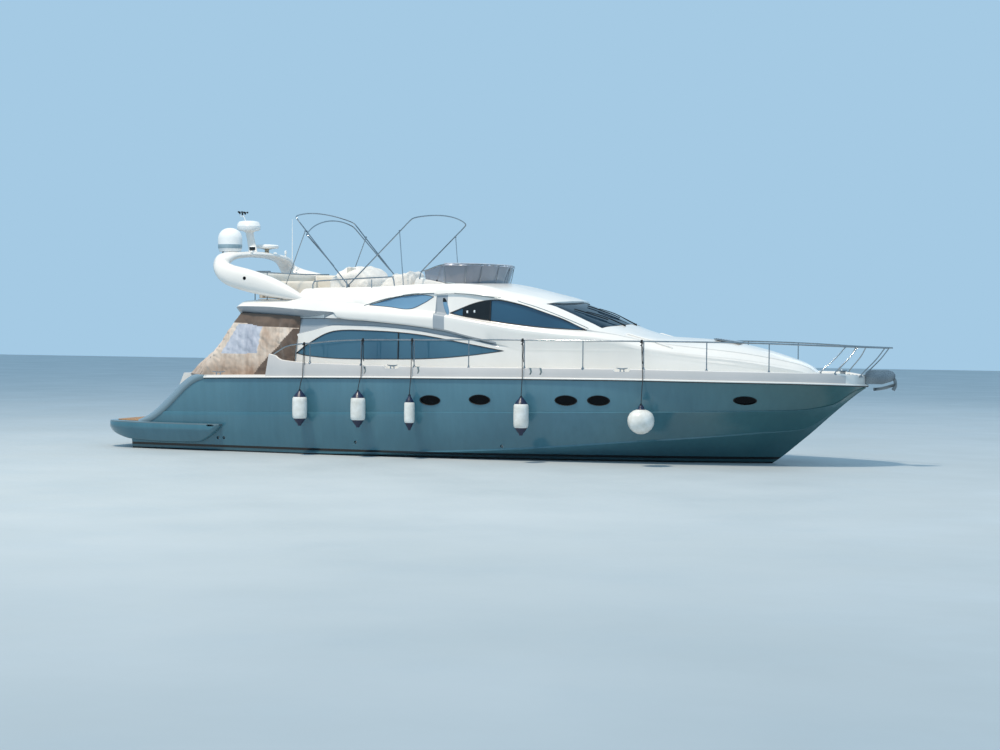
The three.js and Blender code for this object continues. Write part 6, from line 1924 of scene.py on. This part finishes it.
def build_canvas():
    """The drop canvas: one slack sheet from the overhang to the coaming, with clear windows and a gathered hem."""
    rows, count = 72, 300
    rings = []
    for i in range(rows + 1):
        v = i / rows
        z = 1.672 + (2.958 - 1.672) * v
        half = 1.925 - 0.1 * v
        corner_x = -6.035 + 0.925 * v
        aft_x = -6.86 + 1.71 * v
        front = canvas_front(z)
        key = [
            Vector((front, -half, z)), Vector((front + (corner_x - front) * 0.5, -half, z)),
            Vector((corner_x, -half, z)), Vector((aft_x, -1.0, z)), Vector((aft_x - 0.01, 0, z)),
        ]
        key += [Vector((p.x, -p.y, p.z)) for p in reversed(key[:-1])]
        lengths = [0.0]
        for a, b in zip(key, key[1:]):
            lengths.append(lengths[-1] + (b - a).length)
        ring = []
        for k in range(count + 1):
            s = k / count
            target = s * lengths[-1]
            j = max(n for n in range(len(key) - 1) if lengths[n] <= target + 1e-9)
            t = (target - lengths[j]) / (lengths[j + 1] - lengths[j])
            p = key[j] + (key[j + 1] - key[j]) * t
            run = (key[j + 1] - key[j]).normalized()
            out = Vector((run.y, -run.x, 0))
            near = abs(p.y) > half - 0.02
            edge = min(v * 7, (1 - v) * 9, 1.0)
            slack = 0.0
            if near:
                along = (p.x - front) / (corner_x - front)
                lean = along + 0.28 * (1 - v) + 0.03 * noise.noise(Vector((along * 4, v * 3, 0.5 + p.y)))
                gather = exp(-((along / 0.32) ** 2))
                slack += gather * 0.034 * sin(lean * 38) * (0.5 + 0.5 * sin(pi * v) ** 0.5)
                slack += 0.026 * sin(lean * 17 + 1.1) * (1 - 0.4 * along)
                slack -= 0.055 * sin(pi * v) * sin(pi * min(max(along, 0.0), 1.0)) ** 0.7
                hem = max(0.0, 1 - v / 0.12)
                slack += 0.02 * hem * sin(along * 34 + 0.6)
            else:
                slack += 0.02 * sin(s * 260) * (1 - v) + 0.014 * sin(s * 97 + v * 2)
                slack -= 0.04 * sin(pi * v)
            slack += crumple((p.x * 1.3 + p.z * 0.7, p.y, p.z * 0.6 - p.x * 0.4), 0.2, 0.03, 7.0)
            q = p + out * (slack - 0.02) * edge
            q.z += (SWEEP.at(q.x) - 2.965) * v**3
            ring.append(q)
        rings.append(ring)

    def kind(i, j):
        a = rings[i][j]
        v = i / rows
        side = abs(a.y) > 1.78
        x_aft = -6.035 + 0.925 * v
        shaded_corner = side and a.z < 2.72 and a.x > -3.78 - (2.69 - a.z) * 0.94
        # Painted shade: the band under the overhang, deeper at the front, and the shaded front corner take the dark
        # cloth
        if v > 0.852 - 0.045 * ease((a.x + 5.0) / 0.5) or shaded_corner:
            return 1
        ragged = 0.02 * noise.noise(Vector((a.x * 4, a.z * 4, 0.3)))
        if side and 0.37 + ragged < v < 0.84 and x_aft + 0.14 < a.x < -4.5 - 0.3 * (0.835 - v) + 2 * ragged:
            return 2
        if not side and 0.38 < v < 0.84 and 0.16 < abs(a.y) < 1.55:
            return 2
        return 0

    sheet = piece(
        "cockpit_drop_canvas", grid(rings, kind=kind), [CANVAS, CANVAS_DARK, CLEAR_VINYL],
        stands_for=["cockpit_canvas"], sharp=80, outward=False,
    )
    hems = [tube(rings[i][::2], 0.011, 6) for i in (0, rows)]
    for column, radius in ((0, 0.01), (count, 0.01), (int(count * 0.275), 0.009), (int(count * 0.725), 0.009)):
        hems.append(tube([ring[column] for ring in rings], radius, 6))
    piping = piece("canvas_piping", join_parts(hems), CANVAS_DARK)


# Hand rails: x, half breadth, z
RAIL = [
    (-3.9, 2.262, 2.215), (-3.76, 2.275, 2.33), (-3.5, 2.285, 2.385), (-3.1, 2.29, 2.42), (-2.5, 2.292, 2.48),
    (-1.9, 2.29, 2.505), (-0.6, 2.285, 2.52), (1.8, 2.215, 2.54), (3.0, 2.12, 2.54), (4.28, 1.935, 2.54),
    (5.53, 1.69, 2.535), (6.74, 1.3, 2.515), (7.5, 0.95, 2.49), (8.2, 0.52, 2.465), (8.75, 0.3, 2.452),
    (8.96, 0.215, 2.445),
]
RAIL_LINE = Line(*[(x / MM, y / MM, z / MM) for x, y, z in RAIL])


def build_handrails():
    """Side rails from the wheelhouse deck to the pulpit, with round bases and curved leaning stays at the bow."""
    for name, side in SIDES.items():
        line = [(x, side * RAIL_LINE.at(x)[0], RAIL_LINE.at(x)[1]) for x in spread(-3.76, 8.96, 0.14)]
        parts = [
            tube(
                [(-4.06, side * 2.24, 2.165), (-4.0, side * 2.248, 2.2), (-3.9, side * 2.26, 2.255), *line], 0.0155,
                10,
            )
        ]
        for x in (-3.15, -1.93, -0.69, 0.55, 1.78, 3.03, 4.28, 5.54, 6.74):
            y, top = side * RAIL_LINE.at(x)[0], RAIL_LINE.at(x)[1]
            deck = toe_top(x)
            parts.append(tube([(x, y, deck - 0.04), (x, y, top)], 0.012, 8))
            parts.append(
                lathe(
                    [(0, -0.03), (0.034, -0.03), (0.034, 0.004), (0.018, 0.014), (0.016, 0.04), (0, 0.04)],
                    (x, y, deck), 14,
                )
            )
        for x0, y0, x1, y1 in ((7.7, 0.86, 8.15, 0.545), (7.96, 0.69, 8.37, 0.45), (8.4, 0.225, 8.89, 0.245)):
            foot = toe_top(x0) - 0.03
            head = RAIL_LINE.at(x1)[1]
            path = [
                (x0, side * y0, foot), (x0 + 0.03, side * y0, foot + 0.08),
                ((x0 + x1) / 2 + 0.06, side * (y0 + y1) / 2, (foot + head) / 2 + 0.06), (x1, side * y1, head),
            ]
            parts.append(tube(spline(path, 5), 0.012, 8))
            parts.append(
                lathe(
                    [(0, -0.02), (0.034, -0.02), (0.034, 0.008), (0.016, 0.02), (0, 0.02)],
                    (x0, side * y0, foot + 0.02), 14,
                )
            )
        piece(
            f"guard_rail_{name}", join_parts(parts), STAINLESS, stands_for=[f"handrail_{name}"],
            sharp=50,
        )


# Fenders: x, radius, top z, foot z, x where the line is tied
FENDERS = {
    "aft": (-3.255, 0.158, 1.4, 0.65, -3.29),
    "quarter": (-1.865, 0.158, 1.41, 0.65, -1.885),
    "middle": (-0.69, 0.11, 1.34, 0.62, -0.735),
    "forward": (1.82, 0.155, 1.36, 0.58, 1.74),
    "ball": (4.36, 0.275, 1.25, 0.66, 4.24),
}


def build_fenders():
    """Fenders hung from the starboard rail on black lines, with blue ends, knots and hanging tails."""
    for name, (x, r, top, foot, tie) in FENDERS.items():
        y = -(HULL.at(x)[5] + 0.055 + r)
        long = top - foot
        if name == "ball":
            profile = [
                (0, 0), (0.07, 0.008), (0.15, 0.045), (0.22, 0.11), (0.262, 0.19), (0.274, 0.27), (0.264, 0.35),
                (0.225, 0.425), (0.16, 0.475), (0.09, 0.5), (0.062, 0.52), (0.056, 0.56), (0.035, 0.585), (0, 0.59),
            ]
            kinds = [0] * 9 + [1] * 4
        else:
            cap = 0.15
            profile = [
                (0, -0.01), (r * 0.22, -0.008), (r * 0.3, 0.03), (r * 0.55, 0.075), (r * 0.86, cap),
                (r * 0.98, cap + 0.035), (r, cap + 0.09), (r * 1.01, long / 2), (r, long - cap - 0.08),
                (r * 0.98, long - cap - 0.02), (r * 0.88, long - cap + 0.012), (r * 0.6, long - 0.07),
                (r * 0.34, long - 0.03), (r * 0.26, long - 0.004), (0, long),
            ]
            kinds = [1, 1, 1, 1, 0, 0, 0, 0, 0, 0, 1, 1, 1, 1]
        body = lathe([(a, foot + h) for a, h in profile], (x, y, 0), 36, kinds=kinds)
        piece(
            f"fender_body_{name}", body, [FENDER_WHITE, FENDER_BLUE],
            stands_for=[f"fender_{name}"], sharp=50,
        )
        rail_y, rail_z = -RAIL_LINE.at(tie)[0], RAIL_LINE.at(tie)[1]
        start = Vector((x, y, top - 0.01))
        end = Vector((tie, rail_y - 0.026, rail_z))
        edge = Vector(((x + tie) / 2, -(HULL.at(x)[5] + 0.05), HULL.at(x)[6] + 0.03))
        path = [
            start, start + Vector((0, 0, 0.07)), start.lerp(edge, 0.6) + Vector((0, 0, 0.05)), edge,
            edge.lerp(end, 0.5), end,
        ]
        parts = [tube(spline(path, 5), 0.0085, 8)]
        loop = [(tie, rail_y + 0.027 * cos(a), rail_z + 0.027 * sin(a)) for a in linspace(0, 2 * pi, 15)]
        for shift in (-0.012, 0.008):
            parts.append(
                tube([(px + shift + 0.006 * k / 14, py, pz) for k, (px, py, pz) in enumerate(loop)], 0.0085, 8)
            )
        knot = [
            Vector((tie + 0.026 * cos(2 * a), rail_y - 0.03 + 0.016 * sin(3 * a), rail_z - 0.055 + 0.034 * sin(a)))
            for a in linspace(0, 2 * pi, 25)
        ]
        parts.append(tube(knot, 0.0095, 8))
        tail = [
            (tie + 0.012, rail_y - 0.03, rail_z - 0.07), (tie + 0.03, rail_y - 0.03, rail_z - 0.16),
            (tie + 0.02, rail_y - 0.025, rail_z - 0.34), (tie + 0.034, rail_y - 0.03, rail_z - 0.46),
        ]
        parts.append(tube(spline(tail, 5), 0.008, 8))
        eye = [(x + 0.022 * cos(a), y, top + 0.004 + 0.022 * sin(a)) for a in linspace(0, 2 * pi, 13)]
        parts.append(tube(eye, 0.008, 8))
        piece(f"fender_line_{name}", join_parts(parts), ROPE_BLACK, sharp=80)


# Bow gear


def build_bow():
    """Anchor in its roller, windlass with its chain, and the foredeck hatch."""
    cheeks = []
    outline = [
        (8.46, 1.7), (8.46, 1.93), (8.52, 1.985), (8.9, 1.99), (9.0, 1.965), (9.055, 1.9), (9.05, 1.82), (8.98, 1.76),
        (8.8, 1.7),
    ]
    for y0, y1 in ((0.06, 0.072), (-0.072, -0.06)):
        cheeks.append(prism(outline, y0, y1))
    cheeks.append(block((8.3, 8.86), (-0.062, 0.062), (1.86, 1.872)))
    piece(
        "anchor_roller_cheeks", join_parts(cheeks), BRUSHED, stands_for=["anchor"], bevel=(0.003,)
    )
    rollers = [
        lathe(
            [(0, -0.058), (0.045, -0.058), (0.03, -0.02), (0.03, 0.02), (0.045, 0.058), (0, 0.058)], (8.93, 0, 1.885),
            20, (0, 1, 0),
        ),
        lathe([(0, -0.056), (0.03, -0.056), (0.024, 0), (0.03, 0.056), (0, 0.056)], (8.62, 0, 1.905), 18, (0, 1, 0)),
    ]
    piece("anchor_rollers", join_parts(rollers), BLACK_RUBBER, sharp=60)
    shank_side = spline(
        [(8.55, 0, 1.925), (8.8, 0, 1.925), (8.97, 0, 1.885), (9.055, 0, 1.78), (9.06, 0, 1.66), (9.02, 0, 1.58)], 5
    )
    rings = []
    for i, p in enumerate(shank_side):
        a, b = shank_side[max(i - 1, 0)], shank_side[min(i + 1, len(shank_side) - 1)]
        run = (b - a).normalized()
        up = Vector((-run.z, 0, run.x))
        deep = 0.026 + 0.012 * i / len(shank_side)
        rings.append(
            [p + up * deep + Vector((0, s * 0.014, 0)) for s in (-1, 1)]
            + [p - up * deep + Vector((0, s * 0.014, 0)) for s in (1, -1)]
        )
    shank = raw_mesh("shank", *solid(rings))
    link("anchor_shank", bevelled(shank, 0.004), GALVANISED)
    blade = []
    for k in range(9):
        t = k / 8
        x = 8.62 + 0.45 * t
        wide = 0.03 + 0.19 * sin(pi * min(1, t * 1.05)) ** 0.8
        z = 1.56 + 0.02 * t + 0.09 * t * t
        blade.append(
            [
                (x, y * wide, z + 0.05 * abs(y) ** 1.5 + (0.012 if top else 0))
                for top, ys in ((0, linspace(-1, 1, 9)), (1, linspace(1, -1, 9)))
                for y in ys
            ]
        )
    piece("anchor_fluke", solid(blade), GALVANISED, sharp=50)
    deck_z = HULL.at(7.98)[6] + 0.125
    profile = [
        (0, 0), (0.125, 0), (0.128, 0.02), (0.118, 0.04), (0.075, 0.056), (0.06, 0.07), (0.055, 0.1), (0.062, 0.128),
        (0.088, 0.146), (0.09, 0.16), (0.08, 0.174), (0.03, 0.18), (0, 0.18),
    ]
    piece(
        "windlass_drum", lathe([(r, deck_z - 0.012 + h) for r, h in profile], (7.98, 0, 0), 32), STAINLESS,
        stands_for=["windlass"], sharp=45,
    )
    links = []
    for k in range(11):
        x = 8.1 + k * 0.042
        z = deck_z + 0.05 - 0.02 * sin(pi * k / 10) + 0.012
        ring = []
        for a in linspace(0, 2 * pi, 13):
            u, v = 0.03 * cos(a), 0.016 * sin(a)
            ring.append((x + u, v if k % 2 else 0.0, z + (0.0 if k % 2 else v)))
        links.append(tube(ring, 0.0055, 6, caps=False))
    piece("anchor_chain", join_parts(links), GALVANISED, sharp=80)
    z = lambda x: HOUSE.at(x)[10] + 0.0004
    rim = [(5.3, z(5.3)), (5.3, z(5.3) + 0.03), (5.86, z(5.86) + 0.03), (5.86, z(5.86))]
    lid_mesh = bevelled(raw_mesh("hatch_rim", *prism(rim, -0.28, 0.28)), 0.012, 3)
    link("hatch_frame", lid_mesh, STAINLESS, "foredeck_hatch", ["foredeck_hatch"])
    pane = [
        (5.335, z(5.335) + 0.029), (5.335, z(5.335) + 0.036), (5.825, z(5.825) + 0.036), (5.825, z(5.825) + 0.029)
    ]
    piece("hatch_pane", prism(pane, -0.245, 0.245), SMOKED, "foredeck_hatch", bevel=(0.003,))


# Below the water and inside


def build_screws():
    """Bronze propellers with skewed, twisted blades on their shafts."""
    slope = Vector((1, 0, 0.2)).normalized()
    for name, side in SIDES.items():
        centre = Vector((-6.64, side * SHAFT_Y, -0.961))
        sideways = Vector((0, 1, 0))
        up = slope.cross(sideways).normalized() * -1
        parts = []
        shaft_end, shaft_start = centre - slope * 0.115, Vector((-4.6, side * SHAFT_Y, -0.553))
        hub = lathe(
            [(0, -0.16), (0.02, -0.155), (0.045, -0.12), (0.058, -0.08), (0.062, 0), (0.058, 0.06), (0, 0.06)],
            centre, 28, slope,
        )
        parts.append(hub)
        parts.append(tube([shaft_end, shaft_start], 0.025, 16))
        for b in range(4):
            turn = pi / 2 * b + pi / 4
            radial = sideways * cos(turn) + up * sin(turn)
            tangent = slope.cross(radial) * side
            rings = []
            for k in range(9):
                t = k / 8
                r = 0.045 + 0.305 * t
                chord = 0.06 + 0.075 * sin(pi * (t * 0.82 + 0.1)) - 0.05 * max(0, t - 0.75) * 4 * 0.9
                chord = max(chord, 0.012)
                pitch = radians(64 - 36 * t**0.7)
                skew = 0.05 * t * t
                face = tangent * cos(pitch) + slope * sin(pitch)
                normal = face.cross(radial).normalized()
                mid = centre + radial * r - tangent * skew
                skin = lambda u, thick: mid + face * chord * u + normal * thick * (1 - u * u) * (1 - 0.6 * t)
                there, back = linspace(-1, 1, 9), linspace(1, -1, 9)[1:-1]
                rings.append([skin(u, 0.008) for u in there] + [skin(u, -0.004) for u in back])
            parts.append(solid(rings))
        piece(
            f"screw_{name}", join_parts(parts), BRONZE, f"propeller_{name}", [f"propeller_{name}"], sharp=50
        )
        blade = []
        for k in range(11):
            t = k / 10
            z = -0.5 - 0.73 * t
            ahead, behind, thick = 0.19 - 0.06 * t, 0.24 - 0.07 * t, 0.021 - 0.006 * t
            ring = []
            for a in turn_round(24):
                u = (1 - cos(a)) / 2
                ring.append(
                    (
                        RUDDER_X + ahead - (ahead + behind) * u,
                        side * SHAFT_Y + copysign(thick * 2.6 * (u**0.5) * (1 - u) + 0.0015, sin(a)), z,
                    )
                )
            blade.append(ring)
        stock = tube([(RUDDER_X, side * SHAFT_Y, -0.56), (RUDDER_X, side * SHAFT_Y, -0.4705)], 0.022, 18)
        piece(
            f"rudder_blade_{name}", join_parts([solid(blade), stock]), BRONZE, f"rudder_{name}",
            [f"rudder_{name}"], sharp=45,
        )


def build_inside():
    """Cushions, cabin joinery and the finishes of the parts that keep their own shape."""
    cushion("cockpit_bench_seat", (-6.42, -5.99), (-1.0, 1.0), (1.481, 1.6), 4, 1, stands_for=["cockpit_bench"])
    cushion("cockpit_bench_back", (-6.5, -6.4), (-1.0, 1.0), (1.5, 1.83), 4, 1)
    base = [(0.9, ON_SOLE), (0.9, 1.42), (1.64, 1.42), (1.64, ON_SOLE)]
    plinth = raw_mesh("plinth", *prism(base, -3.3, -0.9, 0))
    link("sofa_plinth", bevelled(plinth, 0.02), CABIN_WOOD, stands_for=["saloon_sofa"])
    for row in SOFA_CUSHIONS:
        cushion(*row, material=CABIN_VINYL)
    pedestal = [(0.52, ON_SOLE), (0.55, 1.55), (0.8, 1.55), (0.8, ON_SOLE)]
    piece(
        "helm_pedestal", prism(pedestal, -1.1, -0.8), SHADE_WHITE, stands_for=["lower_helm_seat"],
        bevel=(0.03, 3),
    )
    for row in LOWER_SEAT_CUSHIONS:
        cushion(*row, material=CABIN_VINYL)
    finishes = {
        "cockpit_sole": TEAK, "engine_hatch": TEAK, "saloon_sole": CABIN_WOOD, "engine_starboard": ENGINE_PAINT,
        "engine_port": ENGINE_PAINT, "transom_locker": WHITE, "transom_door": WHITE, "saloon_door": SIDE_GLASS,
        "lower_helm": DASH, "shaft_bracket_starboard": BRONZE, "shaft_bracket_port": BRONZE,
    }
    for node, material in finishes.items():
        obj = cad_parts[node]
        if not obj.material_slots:
            obj.data.materials.append(material)
        for s in obj.material_slots:
            s.material = material


# The camera, fitted to the photograph: place in metres, the way it faces in plan, angles in radians
CAMERA_PLACE = (16.478, -41.054, 2.93)
CAMERA_FACING = (-0.36525, 0.93091)
CAMERA_TILT = radians(1.545)
CAMERA_ROLL = 0.0084
LENS_MM = 72
FLOOR_HALF = 90


def build_stage():
    """Pale floor at the waterline, soft light and the camera."""
    span = (-FLOOR_HALF, FLOOR_HALF)
    mesh = raw_mesh("floor", *grid([[(x, y, 0.0) for y in span] for x in span]), outward=False)
    mesh.materials.append(FLOOR)
    place("floor", mesh)
    world = bpy.data.worlds.new("studio")
    bpy.context.scene.world = world
    world.use_nodes = True
    background = world.node_tree.nodes["Background"]
    background.inputs["Color"].default_value = linear("#A5CAE4")
    background.inputs["Strength"].default_value = 1.0
    bpy.context.scene.view_settings.view_transform = "Standard"
    target = Vector((0, 0, 2.0))
    for name, stand, size, power, colour in (
        ("key", (-5, -16, 36), 3.5, 13000, "#FFEFDA"),
        ("fill", (14, -44, 12), 22, 500, "#DCEBF6"),
        ("back", (10, 30, 16), 16, 500, "#F2F5F8"),
    ):
        lamp = bpy.data.lights.new(name, "AREA")
        lamp.shape, lamp.size, lamp.energy, lamp.color = "DISK", size, power, linear(colour)[:3]
        obj = place(name, lamp)
        obj.location = stand
        obj.rotation_euler = (target - Vector(stand)).to_track_quat("-Z", "Y").to_euler()
    camera = bpy.data.cameras.new("camera")
    camera.lens, camera.sensor_width, camera.sensor_fit = LENS_MM, 36, "HORIZONTAL"
    camera.clip_end = 500
    (fx, fy), up = CAMERA_FACING, Vector((0, 0, 1))
    forward, right = Vector((fx, fy, 0)), Vector((fy, -fx, 0))
    look = forward * cos(CAMERA_TILT) - up * sin(CAMERA_TILT)
    top = up * cos(CAMERA_TILT) + forward * sin(CAMERA_TILT)
    x_axis = right * cos(CAMERA_ROLL) + top * sin(CAMERA_ROLL)
    y_axis = top * cos(CAMERA_ROLL) - right * sin(CAMERA_ROLL)
    obj = place("camera", camera)
    basis = Matrix((x_axis, y_axis, -look)).transposed().to_4x4()
    obj.matrix_world = Matrix.Translation(CAMERA_PLACE) @ basis
    bpy.context.scene.camera = obj


for build in (
    build_stage, build_hull, build_portholes, build_quarters, build_rub_rail, build_deck,
    build_platform, build_house, build_glass, build_windshield, build_console, build_wheel,
    build_seats, build_fly_rail, build_arch, build_aerials, build_canopy_frame, build_canvas,
    build_handrails, build_fenders, build_bow, build_screws, build_inside,
):
    build()
